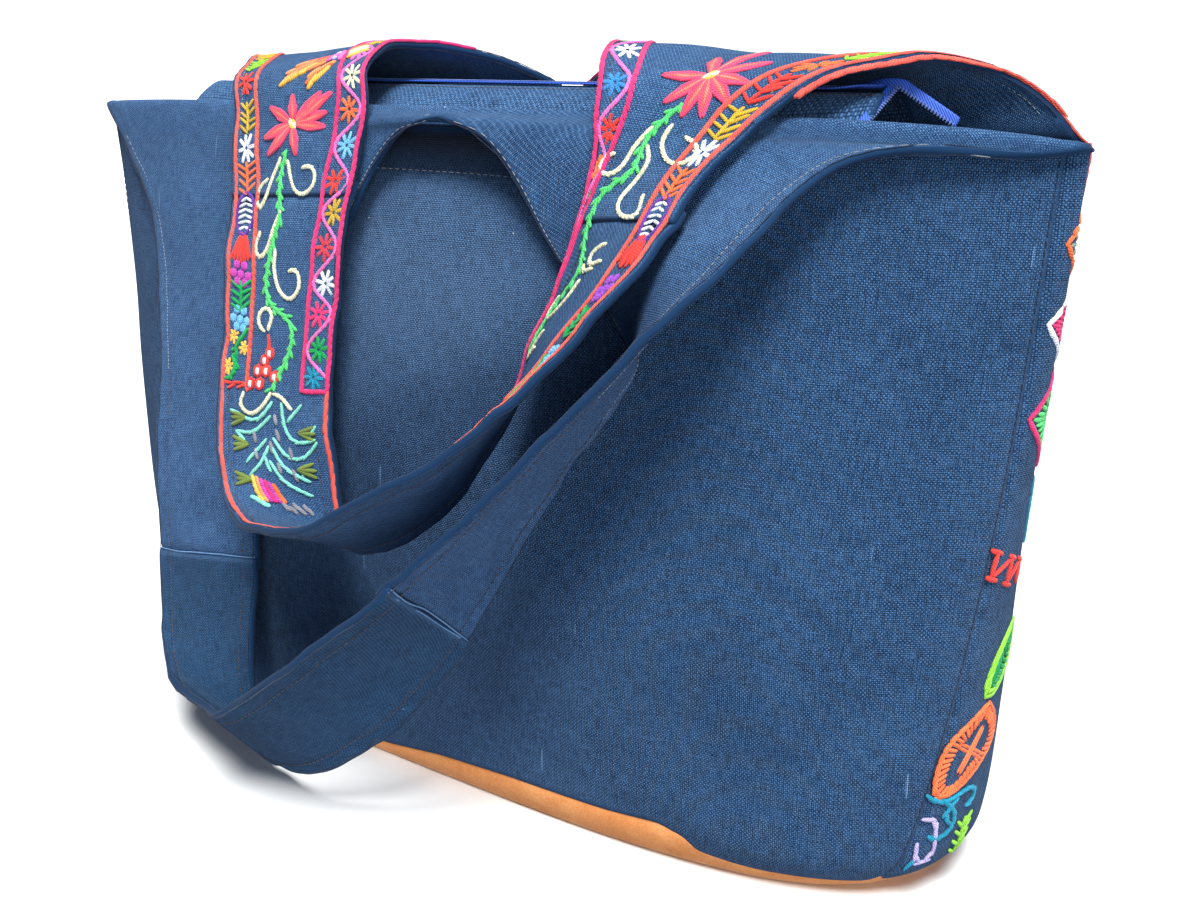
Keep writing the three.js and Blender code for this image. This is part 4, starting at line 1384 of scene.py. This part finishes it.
    def _base(self) -> Piece:
        """Make the suede base: a flat floor whose rim turns up under the canvas."""
        form = self.form
        half = 110
        turn = np.linspace(0, 2, 2 * half + 1)
        scales = (0.85, 0.93, 0.98)
        rises = (0.0, 0.12, 0.3, 0.5, 0.7, 0.9, 1.0)

        def ring(z: Array) -> Array:
            front = form.skin(Side.FRONT, np.minimum(turn, 1) * form.length(Side.FRONT, z), z)
            back = form.skin(Side.BACK, np.clip(2 - turn, 0, 1) * form.length(Side.BACK, z), z)
            return np.where((turn <= 1)[:, None], front, back)

        ground = ring(np.zeros(len(turn)))
        ground[:, 2] = self.suede / 2
        seam = np.where(turn <= 1, self.seam_height(Side.FRONT, ground[:, 0] * 1.08), END_SEAM)
        top = seam + self.lap
        rows = [ground * (s, s, 1) for s in scales]
        for share in rises:
            row = ring(top * share)
            sink = self.tuck * smooth_step((top * share - seam + 3) / 4)
            row[:, :2] *= 1 - (sink / np.hypot(row[:, 0], row[:, 1]))[:, None]
            row[:, 2] = np.maximum(top * share, self.suede / 2)
            rows.append(row)
        rim = np.array(rows)
        rim[:, -1] = rim[:, 0]
        share = np.linspace(0, 1, 13)[:, None, None]
        floor = rim[0, :half + 1] * (1 - share) + rim[0, half:][::-1] * share
        patches = [plain_patch(points, points[..., :2].copy()) for points in (rim, floor)]
        piece = Cloth("base_suede", "base", "suede", self.suede, patches, self.finishes.suede).build()
        return piece

    def _topstitch(self) -> Piece:
        """Sew the machine stitches of the two lapped seams and of the facing under the neckline."""
        work = Needlework("panel_topstitch", "canvas", self.finishes.thread, self.canvas / 2 - 0.1)

        def beside(end: End) -> Ground:
            return lambda z, c: self.form.end_skin(end, -self.form.column("gusset", z) - c, z)

        def facing(x: Array, z: Array) -> Laid:
            y = self.form.y(Side.FRONT, x, z) - self._creased(x, z) - 0.6
            return np.stack([x, y, z], -1), np.tile([0.0, -1.0, 0.0], (len(x), 1))

        for end in End:
            work.run(beside(end), [(z, 2.4) for z in np.linspace(14, 278, 60)], Yarn.NAVY_THREAD, 0.5,
                     length=2.2, overlap=0, gap=1.0, smooth=False)
        work.run(facing, FACING, Yarn.PALE_THREAD, 0.4, length=2.0, overlap=0, gap=1.4)
        return work.build()


class FoldStep(NamedTuple):
    """A row of the front yoke's fold over the mouth, as shares of its rise and its stand-off."""

    rise: float
    out: float


FOLD = tuple(FoldStep(*row) for row in (
    (0, 0), (0.34, 0.06), (0.62, 0.22), (0.9, 0.55), (1, 1), (0.88, 1.45), (0.55, 1.7)))


@dataclass
class Handle:
    """One handle: its yoke with two arms, and the strap between the cross seams."""

    form: HandleForm
    side: Side
    finishes: Finishes
    slot: str
    strap_over: bool  # whether the strap or the yoke lies on top at the cross seams
    faces: tuple[int, int]  # the face, 1 or -1, that shows at each cross seam
    thickness: float = 2.6
    across: int = 26
    stride: float = 3.4
    lap: float = 7.0  # how far one goes under the other
    tuck: float = 1.7  # and how far it sinks there
    mouth: float = 280.8
    left_end: float = -238.0
    right_end: float = 246.5
    end_drop: float = 4.0  # how far the fold sinks at the right corner
    overlap: float = 3.4  # how far the back yoke goes down over its panel's edge
    frays: tuple[tuple[float, ...], ...] = ((0.0,), (-0.5, 1.1))  # frayed threads along each cross seam
    fold_rise: float = 5.6
    fold_out: float = 3.4
    fold_at_ends: float = 0.3
    fold_fall: float = 4.0

    def build(self) -> list[Piece]:
        """Make the yoke and the strap.

        Returns:
            Both pieces.
        """
        name = self.side.name.lower()
        first, second = self.form.seam(0), self.form.seam(1)
        total = self.form.arcs[-1]
        yoke_lap, strap_lap = (self.lap, 0.0) if self.strap_over else (0.0, self.lap)
        arms = [self._arm(0.0, first + yoke_lap, self.left_end),
                self._arm(second - yoke_lap, total, self.right_end)]
        yoke = Cloth(f"{name}_yoke_cloth", f"{name}_yoke", self.slot, self.thickness, arms,
                     self.finishes.faded).build()
        strap = Cloth(f"{name}_strap_cloth", f"{name}_strap", self.slot, self.thickness,
                      [self._grid(first - strap_lap, second + strap_lap, not self.strap_over)],
                      self.finishes.fresh if self.strap_over else self.finishes.faded).build()
        arm_area = self._cut(0.0, first + yoke_lap) + self._cut(second - yoke_lap, total)
        widths = self.form.width(np.linspace(first, second, 60))
        self._cut(first - strap_lap, second + strap_lap)
        return [yoke, strap]

    def _cut(self, start: float, end: float) -> float:
        """Flat area, in square metres, of the ribbon between two distances along it."""
        return float(self.form.width(np.linspace(start, end, 60)).mean()) * (end - start) * MM * MM

    def _grid(self, start: float, end: float, under: bool) -> Patch:
        """A patch of the ribbon between two distances along it, sunk past the seams where it goes under."""
        rows = max(3, round((end - start) / self.stride))
        arc, share = np.meshgrid(np.linspace(start, end, rows + 1), np.linspace(0, 1, self.across + 1),
                                 indexing="ij")
        points, normal = self.form.surface(arc, share)
        width = self.form.width(arc)
        spans = np.linalg.norm(np.diff(points, axis=0, prepend=points[:1]), axis=2)
        thread = np.cumsum(spans, axis=0)
        thread = thread - thread[-1] + end if start == 0 else thread + start
        flat = np.stack([(share - 0.5) * width, thread], -1)
        hem = np.minimum(share, 1 - share) * width
        wear = (0.0 if self.strap_over else 0.12) * np.exp(-((hem / 1.4) ** 2))
        middle = (start + end) / 2
        for number in (0, 1):
            seam = self.form.seam(number)
            past = (arc - seam) * np.sign(seam - middle)
            face = normal * self.faces[number]
            if under:
                points = points - face * (self.tuck * smooth_step((past + 3) / 4))[..., None]
            else:
                points = points + face * (0.35 * smooth_step((past + 9) / 3) * (past < 0.1))[..., None]
                wear = wear + (1.1 if self.strap_over else 0.8) * np.exp(-((past / 1.2) ** 2))
        return Patch(points, flat, hem, wear)

    def _arm(self, start: float, end: float, corner: float) -> Patch:
        """A patch of one arm, with the rows that join it to its panel."""
        arm = self._grid(start, end, self.strap_over)
        steps = FOLD if self.side is Side.FRONT else FOLD[:1]
        x = corner + (NECK - corner) * np.linspace(0, 1, self.across + 1)
        middle = 1 - ((x - NECK) / (corner - NECK)) ** self.fold_fall
        crest = self.fold_at_ends + (1 - self.fold_at_ends) * middle
        wall = self.form.body.y(self.side, x, np.full_like(x, self.form.body.height))
        sunk = self.end_drop * np.clip((x - NECK) / (self.right_end - NECK), 0, 1) ** 8
        base = self.mouth - (sunk if self.side is Side.FRONT else self.overlap)
        root = np.array([np.stack([
            x, wall - s.out * self.fold_out, base + s.rise * self.fold_rise * crest], -1) for s in steps])
        at = 0 if corner < 0 else -1
        way = -1 if corner < 0 else 1
        spans = np.linalg.norm(np.diff(np.concatenate([root, arm.points[at][None]]), axis=0), axis=2).mean(1)
        rise = np.cumsum(spans[::-1])[::-1]
        flat = np.stack([arm.flat[at] + (0, way * r) for r in rise])
        repeat = lambda layer: np.repeat(layer[at][None], len(root), 0)
        extra = Patch(root, flat, repeat(arm.hem), repeat(arm.wear))
        if corner < 0:
            return Patch(*(np.concatenate([a, b]) for a, b in zip(extra, arm)))
        return Patch(*(np.concatenate([b, a[::-1]]) for a, b in zip(extra, arm)))

    def topstitch(self) -> Piece:
        """Sew the rows of machine stitches along both hems and across the cross seams.

        Returns:
            The stitches.
        """
        name = self.side.name.lower()
        work = Needlework(f"{name}_handle_topstitch", self.slot, self.finishes.thread,
                          self.thickness / 2 - 0.05)
        total = self.form.arcs[-1]
        near_root = 110.0
        sewing = {"length": 2.1, "overlap": 0, "gap": 1.1, "smooth": False}
        for face in (1, -1):
            def lay(a: Array, c: Array) -> Laid:
                share = np.where(c >= 0, c / self.form.width(a), 1 + c / self.form.width(a))
                points, normal = self.form.surface(a, share)
                raised = np.where(np.abs(c) < 7, 0.32, 0.0)[:, None]
                return points + normal * face * raised, normal * face

            for inset in (8.0, -8.0):
                for start, end in ((1, near_root), (near_root, total - near_root),
                                   (total - near_root, total - 1)):
                    at_root = end == near_root or start > near_root
                    arcs = np.linspace(start, end, 200)
                    from_root = np.minimum(arcs, total - arcs)
                    closer = 5.2 * smooth_step((near_root - from_root) / 50) if inset < 0 else 0 * arcs
                    path = list(zip(arcs, np.sign(inset) * (abs(inset) - closer)))
                    if at_root and (self.side is Side.FRONT or inset > 0):
                        work.run(lay, path, Yarn.PALE_THREAD, 0.42, **{**sewing, "length": 1.1, "gap": 0.7})
                    else:
                        work.run(lay, path, Yarn.BROWN_THREAD, 0.5, **sewing)
            # Dark runs of painted shade along the folds of both hems.
            for edge in (1.6, -1.6):
                path = [(a, edge) for a in np.linspace(1, total - 1, 300)]
                work.run(lay, path, Yarn.FOLD_SHADE, 0.5, length=5.0, overlap=0.5, smooth=False, wobble=0.3)
            for number, into in ((0, 1), (1, -1)):
                if self.strap_over and face == self.faces[number]:
                    for fray in self.frays[number]:
                        arc = self.form.seam(number) + into * fray
                        width = float(self.form.width(np.array(arc)))
                        work.run(lay, [(arc, 0.6), (arc, width - 0.6)], Yarn.FRAYED_EDGE, 0.7, length=2.4,
                                 smooth=False, wobble=0.6 * len(self.frays[number]))
                for inset in (2.6, 4.6):
                    arc = self.form.seam(number) + into * inset * (1 if self.strap_over else -1)
                    width = float(self.form.width(np.array(arc)))
                    work.run(lay, [(arc, 1.0), (arc, width - 1.0)], Yarn.BROWN_THREAD, 0.5, **sewing)
        return work.build()


@dataclass
class Embroidery:
    """The needlework of the back handle and of the gusset that shows."""

    handle: HandleForm
    body: BodyForm
    finishes: Finishes
    cloth: float = 1.3  # half the handle's thickness
    line: float = 2.2  # thickness of the outline yarn
    scroll: float = 1.8  # and of the cream scrolls

    def build(self) -> list[Piece]:
        """Sew both bands, the strap and the gusset.

        Returns:
            The pieces of needlework.
        """
        left = Band(self.handle, self.handle.seam(0), 1, lane_end=82.0)
        right = Band(self.handle, self.handle.seam(1), -1, lane_end=78.0, curl=(-70.0, 14.0))
        pieces = []
        for name, band, outer, inner, centre in (
                ("left", left, LEFT_OUTER_LANE, LEFT_INNER_LANE, self._left_centre),
                ("right", right, RIGHT_OUTER_LANE, RIGHT_INNER_LANE, self._right_centre)):
            work = self._work(f"{name}_band", self.cloth)
            self._edges(work, band)
            self._outer_lane(work, band, outer)
            self._inner_lane(work, band, inner)
            centre(work, band)
            pieces.append(work.build())
        pieces += [self._strap_edges(left, right), self._rim(right), self._gusset(End.RIGHT)]
        return pieces

    def _work(self, name: str, lift: float) -> Needlework:
        """Start a piece of needlework on the handle."""
        return Needlework(f"{name}_embroidery", "embroidered_canvas", self.finishes.yarn, lift)

    def _edges(self, work: Needlework, band: Band) -> None:
        """Sew the lines that bound the two lanes."""
        top, end = band.root() + (3 if band.way < 0 else 30), band.lane_end
        for edge, yarn in ((Edge.OUTER, Yarn.CORAL), (Edge.INNER, Yarn.HOT_PINK)):
            ground = band.ground(edge)
            near, far = band.lanes[edge]
            for inset in (near, far):
                path = [(a, inset) for a in np.linspace(top, end, 60)]
                work.run(ground, path, yarn, self.line, length=3.4, smooth=False, wobble=0.5)
            if edge is Edge.INNER:
                work.run(ground, [(end, near), (end, far)], yarn, self.line, length=4.0, smooth=False)
        across = np.linspace(*band.lanes[Edge.OUTER], 6)
        zigzag = [(band.lane_end - 4 + 3 * (k % 2), c) for k, c in enumerate(across)]
        work.run(band.ground(Edge.OUTER), zigzag, Yarn.RED, 1.7, length=4.0, smooth=False)

    def _outer_lane(self, work: Needlework, band: Band, spots: Sequence[LaneSpot]) -> None:
        """Sew the sprigs, leaves and berries of the coral lane, and the small vine at its end."""
        near, far = band.lanes[Edge.OUTER]
        middle, half = (near + far) / 2, (far - near) / 2 - 1.2
        motifs = Motifs(work, band.ground(Edge.OUTER))
        for spot in spots:
            at = (spot.along, middle)
            if spot.kind == "daisy":
                motifs.daisy(at, half * 0.98, spot.yarn)
            elif spot.kind == "leaf":
                motifs.leaf(at, 19, half * 0.95, spot.yarn, Yarn.WHITE)
            elif spot.kind == "berries":
                motifs.cluster(at, (2, 3, 2), 3.6, spot.yarn)
            elif spot.kind == "fan":
                motifs.fan(at, 13, half * 0.95, spot.yarn)
            else:
                motifs.sprig(at, 12.5, half * 0.92, spot.yarn)
        stalk = [(56, far - 2), (61, middle), (66, middle - 3), (70, middle), (75, middle - 1),
                 (77, middle - 5)]
        motifs.vine(stalk, Yarn.LEAF, barb=2.0)
        for a, c in ((59, middle - 3.8), (64, middle + 3.6), (72, middle - 5)):
            motifs.daisy((a, c), 3.2, Yarn.YELLOW, petals=7)

    def _inner_lane(self, work: Needlework, band: Band, spots: Sequence[LaneSpot]) -> None:
        """Sew the daisies of the pink lane and the line that winds between them."""
        near, far = band.lanes[Edge.INNER]
        middle, half = (near + far) / 2, (far - near) / 2 - 0.9
        motifs = Motifs(work, band.ground(Edge.INNER))
        wave = []
        for k, spot in enumerate(spots):
            sway = 1 if k % 2 else -1
            motifs.daisy((spot.along, middle - sway * 0.9), half * 0.88, spot.yarn, turn=0.2 * k)
            wave.append((spot.along, middle + sway * half * 0.98))
        work.run(motifs.ground, wave, Yarn.PINK, 1.7, length=3.0)

    def _scrolls(self, work: Needlework, ground: Ground, paths: Sequence[Sequence[Pair]]) -> None:
        """Sew cream scrolls in short knotted stitches."""
        for path in paths:
            work.run(ground, path, Yarn.CREAM, self.scroll, length=2.2, overlap=0.7)

    def _left_centre(self, work: Needlework, band: Band) -> None:
        """Sew the middle of the left band: feather, flower, vine, scrolls, berries and fern."""
        motifs = Motifs(work, band.ground(Edge.MIDDLE))
        motifs.strands(FEATHER, 2.9)
        motifs.bloom((-30, 1), LEFT_PETALS)
        motifs.vine([(-19, -1), (-10, -4), (2, -3), (8, -1), (20, -5), (34, -7), (42, -6), (47, -1), (51, 7),
                     (57, 10), (66, 9), (74, 5), (81, 1)], Yarn.GREEN)
        self._scrolls(work, motifs.ground, (
            [(-15, 0), (-8, 2), (-2, 6), (-1, 12), (-6, 17), (-12, 15), (-12, 9)],
            [(-16, -5), (-8, -9), (0, -12), (5, -15), (2, -18), (-4, -17), (-7, -12)],
            [(6, -1), (14, -5), (22, -8), (26, -12), (21, -15), (15, -13)],
            [(22, -3), (30, -3), (39, 1), (43, 8), (38, 13), (31, 11), (31, 6)],
            [(57, -6), (53, -10), (48, -9), (47, -4), (51, -2), (56, -4)],
            [(83, 1), (89, -4), (92, -11), (88, -17), (83, -15)],
            [(83, 2), (85, 7), (90, 12)],
        ))
        for at in ((66, -2), (69, -4.5), (73.5, -8), (73.5, -3), (76, 2), (79, -11.5), (79, -6)):
            motifs.berry(at, 5.0, Yarn.RED, Yarn.WHITE)
        work.run(motifs.ground, [(58, -3), (66, -2.5)], Yarn.RED, 1.7)
        self._fern(motifs)

    def _fern(self, motifs: Motifs) -> None:
        """Sew the fern that fills the band below the lanes, and the bud at its foot."""
        work, ground = motifs.work, motifs.ground
        ribs = (
            [(90, -23), (95, -8), (87, 2)], [(99, -20), (100, -10), (93, 1)],
            [(99, -20), (104, -15), (103, -20)], [(113, -15), (107, -7), (103, -2)],
            [(119, -14), (113, -6), (106, -1)],
            [(87, 7), (96, 8), (104, 13), (103, 25)], [(88, 18), (95, 10)], [(101, 22), (97, 26)],
            [(102, 2), (110, 8), (111, 17), (104, 26)], [(106, 1), (115, 6), (121, 18)],
            [(119, 14), (115, 18)], [(112, -1), (121, 4), (127, 17)], [(109, -4), (117, -2)],
        )
        for rib in ribs:
            work.run(ground, rib, Yarn.MINT, 1.7, length=4.0)
        for a, c in ((100, 20), (116, 17), (94, -18), (105, -17), (121, -16)):
            for tip in (-3.0, 0.0, 3.0):
                work.sew(ground, [(a, c - 4 * np.sign(c))], [(a + tip, c + 5 * np.sign(c))],
                         Yarn.OLIVE, 2.2, 0.3)
        for a, c in ((92, 3), (99, 4), (107, 11), (100, -9), (104, 0), (107, -9), (113, 3), (116, 11)):
            work.sew(ground, [(a, c)], [(a + 4.5, c + 0.8)], Yarn.GREY, 2.0, 0.3)
        bud = (Yarn.YELLOW, Yarn.PEACH, Yarn.MAGENTA, Yarn.HOT_PINK, Yarn.MAGENTA, Yarn.ORANGE)
        for k, yarn in enumerate(bud):
            c = -12 + k * 2.1
            work.run(ground, [(119 + k * 0.7, c), (126, c + 1), (131, c + 4)], yarn, 2.2, length=3.0)
        for k in range(8):
            work.sew(ground, [(131 + k % 3, 1 + k * 1.6)], [(134 + k % 3, 3 + k * 1.6)], Yarn.GREY, 1.9, 0.4)
        work.run(ground, [(129, -14), (134, -6)], Yarn.MINT, 2.2, length=3.0)

    def _right_centre(self, work: Needlework, band: Band) -> None:
        """Sew the middle of the right band: flower, vine and scrolls."""
        motifs = Motifs(work, band.ground(Edge.MIDDLE))
        motifs.bloom((-59, -3), RIGHT_PETALS)
        motifs.vine([(-47, 1), (-42, 4), (-34, 8), (-26, 7), (-20, 6), (-15, 12), (-9, 17), (0, 18), (9, 17),
                     (17, 12), (24, 11), (35, 18), (46, 21), (54, 20)], Yarn.GREEN)
        self._scrolls(work, motifs.ground, (
            [(-38, 8), (-30, 11), (-22, 12), (-18, 16), (-20, 21), (-25, 22), (-27, 18)],
            [(-39, 1), (-32, 1), (-25, -5), (-23, -12), (-27, -16), (-32, -12), (-34, -7)],
            [(-30, 6), (-24, 2), (-16, 3), (-8, 6), (-2, 1), (-2, -7), (-10, -5)],
            [(24, 6), (32, 9), (39, 15), (41, 21), (36, 22), (31, 19)],
            [(9, 1), (13, 7), (18, 4), (16, -2)],
            [(19, 1), (21, 6), (18, 9)],
            [(46, 12), (56, 17), (58, 18), (53, 11)],
        ))

    def _strap_edges(self, left: Band, right: Band) -> Piece:
        """Sew the coral lines along both edges of the strap, between the two bands' lanes."""
        work = self._work("strap", self.cloth)
        length = right.seam - right.lane_end - (left.seam + left.lane_end)
        for edge in (Edge.OUTER, Edge.INNER):
            inset = left.lanes[edge][0] + (1.2 if edge is Edge.INNER else 0)
            path = [(left.lane_end + a, inset) for a in np.linspace(-0.5, length + 0.5, 60)]
            work.run(left.ground(edge), path, Yarn.CORAL, self.line, length=5.0, smooth=False, wobble=0.5)
        return work.build()

    def _rim(self, band: Band) -> Piece:
        """Sew the coral line that is whipped over the edge of a band near its root."""
        work = self._work("rim", 0.2)
        for offset in (-0.2, 0.9):
            path = [(a, offset) for a in np.linspace(band.root() + 1, -52, 60)]
            work.run(band.rim, path, Yarn.CORAL, self.line, length=4.0, smooth=False)
        root, up = band.rim(np.array([band.root() + 1]), np.zeros(1))
        corner = np.array([244.0, float(self.body.y(Side.BACK, np.array(244.0), np.array(280.0))), 279.0])

        def down(t: Array, c: Array) -> Laid:
            return root + (corner - root) * t[:, None] + up * c[:, None], np.repeat(up, len(t), 0)

        work.sew(down, [(0.0, -0.6), (0.4, -1.2), (0.75, -1.2)], [(0.5, -1.0), (0.85, -1.2), (1.0, -0.6)],
                 Yarn.CORAL, self.line)
        return work.build()

    def _gusset(self, end: End) -> Piece:
        """Sew the column of leaves on a side gusset."""
        work = Needlework(f"gusset_{end.name.lower()}_embroidery", "canvas", self.finishes.yarn, 1.0)

        def lay(z: Array, reach: Array) -> Laid:
            return self.body.end_skin(end, np.asarray(reach, float), np.asarray(z, float))

        motifs = Motifs(work, lay, yarn_width=1.9)
        work.run(lay, [(279.5, 1.5), (270, 2), (262, 3)], Yarn.CORAL, self.line, length=5.0)
        motifs.outlined(((246, -3), (264, 6), (246, 19), (230, 8)), Yarn.ORANGE, Yarn.SAGE, 22)
        motifs.outlined(((219, -6), (235, 8), (219, 20), (203, 8)), Yarn.WHITE, Yarn.HOT_PINK, 34)
        motifs.outlined(((186, -8), (206, 9), (186, 24), (166, 9)), Yarn.HOT_PINK, Yarn.GREEN, 30)
        work.run(lay, [(162, 9), (152, 7), (137, 9)], Yarn.TEAL, 1.8)
        for start, stop in (
                ((140, -16), (138, -11)), ((139, -13), (130, -15)), ((130, -17), (128, -12)),
                ((130, -14), (135, -4)), ((136, -6), (134, -2)), ((135, -4), (125, -6)),
                ((126, -8), (124, -3)), ((126, -5), (132, 4)), ((133, 2), (131, 6)), ((132, 4), (123, 3))):
            work.sew(lay, [start], [stop], Yarn.RED, 2.4)
        for length, half in ((33, 7.5), (29, 5.8)):
            motifs.leaf((93, 3), length, half, Yarn.LIME, Yarn.LEAF, turn=0.76, ribs=9)
        motifs.blanket_leaf((
            (78, -5), (69, 4), (59, 4), (50, -11), (45, -26), (56, -28), (67, -24), (74, -14)),
            Yarn.ORANGE, 5.2, 2.7)
        for path in ([(47, -31), (43, -23), (45, -12), (43, -5), (38, -5), (37, -10)],
                     [(44, -24), (38, -17), (31, -16), (27, -21), (29, -27)],
                     [(43, -16), (37, -22), (33, -18)]):
            work.run(lay, path, Yarn.TEAL, 2.1, length=3.4)
        work.run(lay, [(37, -31), (37, -25), (19, -22), (17, -29), (27, -31)], Yarn.LAVENDER, 1.9,
                 smooth=False)
        work.run(lay, [(20, -30), (15, -31)], Yarn.TEAL, 1.9)
        motifs.sprig((24, -8), 15, 5, Yarn.LIME, up=1)
        return work.build()


@dataclass
class ZipMouth:
    """The zip that closes the mouth: two plackets, two tapes with teeth, and a slider."""

    form: BodyForm
    finishes: Finishes
    height: float = 296.0
    left: float = -172.0
    right: float = 176.0
    end_slope: float = 9.0  # length over which the plackets rise at their left end
    zip_start: float = 26.0  # from the plackets' left end, where they meet, to the zip
    tape: float = 0.8
    tape_width: float = 7.0
    placket: float = 1.2
    inset: float = 2.1
    drop: float = 1.0
    under: float = 1.5
    crown: float = 3.0
    gap: float = 0.3
    overhang: float = 1.0
    turn: float = 22.0  # length over which the tapes turn on edge at their free ends
    tails: dict[Side, tuple[float, float, float]] = field(default_factory=lambda: {
        Side.FRONT: (-2, -19, -12), Side.BACK: (21, 2, -13)})
    tail_faces: dict[Side, tuple[float, float, float]] = field(default_factory=lambda: {
        Side.FRONT: (-0.85, -0.3, 0.35), Side.BACK: (0.35, 0.3, 0.88)})
    tooth: float = 1.3  # distance between two teeth

    def build(self) -> list[Piece]:
        """Make the plackets, the tapes, the teeth and the slider.

        Returns:
            The pieces.
        """
        strips = [make(side) for side in Side for make in (self._placket, self._tape)]
        return [*strips, self._teeth(), self._topstitch(), self._slider()]

    def middle(self, x: Array) -> Array:
        """y of the middle of the mouth."""
        rim = np.full(np.shape(x), self.form.height)
        return sum(self.form.y(side, x, rim) for side in Side) / 2

    def on_placket(self, side: Side, x: Array, share: Array) -> Array:
        """Points of a placket at a share of the way from its panel to the zip."""
        wall = self.form.y(side, x, np.full_like(x, self.form.height)) - side.value * self.inset
        apart = smooth_step((x - self.left) / self.zip_start)
        inner = self.middle(x) + side.value * (self.placket + (self.tape_width - self.placket) * apart)
        full = self.height - self.under - self.form.height + self.drop
        risen = np.sqrt(smooth_step((x - self.left) / self.end_slope))
        z = self.form.height - self.drop + risen * (full * share + 4 * share * (1 - share) * self.crown)
        return np.stack([x, wall + (inner - wall) * share, z], -1)

    def _placket(self, side: Side) -> Piece:
        """Make the canvas strip from a panel's edge up to the zip."""
        x, share = np.meshgrid(np.linspace(self.left, self.right, 91), np.linspace(0, 1, 11), indexing="ij")
        points = self.on_placket(side, x, share)
        flat = np.stack([np.abs(points[..., 1] - points[:, :1, 1]) * 1.1, x], -1)
        patch = plain_patch(points, flat)
        if side is Side.FRONT:
            patch = patch.turned(0)
        name = f"zip_placket_{side.name.lower()}"
        piece = Cloth(f"{name}_cloth", name, "canvas", self.placket, [patch], self.finishes.ribbed).build()
        return piece

    def _line(self, side: Side) -> tuple[Array, Array, Array]:
        """The zip line with one tape's free end: points, distances along it, directions across the tape."""
        x = np.linspace(self.left + self.zip_start, self.right + self.overhang, 91)
        line = np.stack([x, self.middle(x), np.full_like(x, self.height)], -1)
        tail = np.array(self.tails[side], float)
        line = np.concatenate([line, line[-1] + tail * np.linspace(0, 1, 13)[1:, None]])
        travelled = travel(line)
        turned = smooth_step((line[:, :1] - self.right + self.turn) / self.turn)
        across = np.array([0.0, side.value, 0.0]) * (1 - turned) + np.array(self.tail_faces[side]) * turned
        return line, travelled, unit(across)

    def _tape(self, side: Side) -> Piece:
        """Make one tape."""
        line, travelled, across = self._line(side)
        widths = np.linspace(self.gap, self.tape_width - self.gap, 5)
        slim = 1 - 0.4 * smooth_step((line[:, 0] - self.right + self.turn) / self.turn)
        points = line[:, None] + across[:, None] * widths[None, :, None] * slim[:, None, None]
        flat = np.stack(np.broadcast_arrays(widths[None], travelled[:, None]), -1)
        patch = plain_patch(points, flat)
        if side is Side.FRONT:
            patch = patch.turned(0)
        name = f"zip_tape_{side.name.lower()}"
        piece = Cloth(f"{name}_ribbon", name, "zip_tape", self.tape, [patch], self.finishes.tape).build()
        return piece

    def _teeth(self) -> Piece:
        """Make the coil of teeth along the closed zip and both free ends."""
        work = Needlework("zip_teeth", "zip_tape", self.finishes.thread, 0.0)
        for side in Side:
            line, travelled, across = self._line(side)
            forward = unit(np.gradient(line, axis=0))
            face = np.cross(forward, across) * side.value
            spots = np.arange(1 + side.value * self.tooth / 4, travelled[-1], self.tooth)

            def lay(a: Array, c: Array) -> Laid:
                read = lambda table: np.stack([np.interp(a, travelled, column) for column in table.T], -1)
                normal = unit(read(face))
                return read(line) + read(across) * c[:, None] + normal * (self.tape / 2 + 0.1), normal

            start, end = (np.stack([spots, np.full(len(spots), c)], -1) for c in (-0.2, 1.1))
            # The teeth's pale blue paints the highlights of a dark navy coil.
            work.sew(lay, start, end, Yarn.ZIP_COIL, 0.7)
        return work.build()

    def _topstitch(self) -> Piece:
        """Sew the machine stitches that hold the tapes to the plackets."""
        work = Needlework("placket_topstitch", "canvas", self.finishes.thread, self.placket / 2)
        for side in Side:
            def lay(x: Array, share: Array) -> Laid:
                return self.on_placket(side, x, share), np.tile([0.0, side.value * 0.4, 0.9], (len(x), 1))

            path = [(x, 0.82) for x in np.linspace(self.left + self.zip_start, self.right - 2, 80)]
            work.run(lay, path, Yarn.BROWN_THREAD, 0.5, length=2.1, overlap=0, gap=1.1, smooth=False)
        return work.build()

    def _slider(self) -> Piece:
        """Make the slider: a wedge with rounded edges, astride the zip line."""
        low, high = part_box("zip_slider")
        size, centre = high - low, (high + low) / 2
        bpy.ops.object.select_all(action="DESELECT")
        bpy.ops.mesh.primitive_cube_add(size=1, location=centre, scale=size)
        slider = bpy.context.object
        bpy.ops.object.transform_apply(location=True, rotation=False, scale=True)
        taper = 0.6
        for vertex in slider.data.vertices:
            if vertex.co.x < centre.x:
                vertex.co.y = centre.y + (vertex.co.y - centre.y) * taper
        round_off = slider.modifiers.new("round", "BEVEL")
        round_off.width, round_off.segments = 1.1 * MM, 3
        bpy.ops.object.modifier_apply(modifier="round")
        slider.location = (0, 0, 0)
        bpy.ops.object.shade_smooth_by_angle(angle=math.radians(40))
        return dress(slider, "zip_slider_cast", self.finishes.cast, "zip_slider")


def main() -> None:
    """Build the stage and every piece of the bag, in order."""
    logging.basicConfig(level=logging.INFO, format="%(name)s %(relativeCreated)d ms: %(message)s")
    Studio().build()
    finishes = Finishes()
    body = BodyForm()
    front = HandleForm(body, FRONT_ROWS, (6, 14), seed=41)
    back = HandleForm(body, BACK_ROWS, (7, 19.3), seed=51)
    BodyPanels(body, finishes).build()
    for handle in (Handle(front, Side.FRONT, finishes, "handle_canvas", strap_over=True, faces=(1, -1)),
                   Handle(back, Side.BACK, finishes, "embroidered_canvas", strap_over=False, faces=(1, 1))):
        handle.build()
        handle.topstitch()
    ZipMouth(body, finishes).build()
    Embroidery(back, body, finishes).build()
    bpy.context.scene.view_settings.view_transform = "Standard"
    bpy.context.scene.view_settings.look = "Medium High Contrast"


if __name__ == "__main__":
    main()
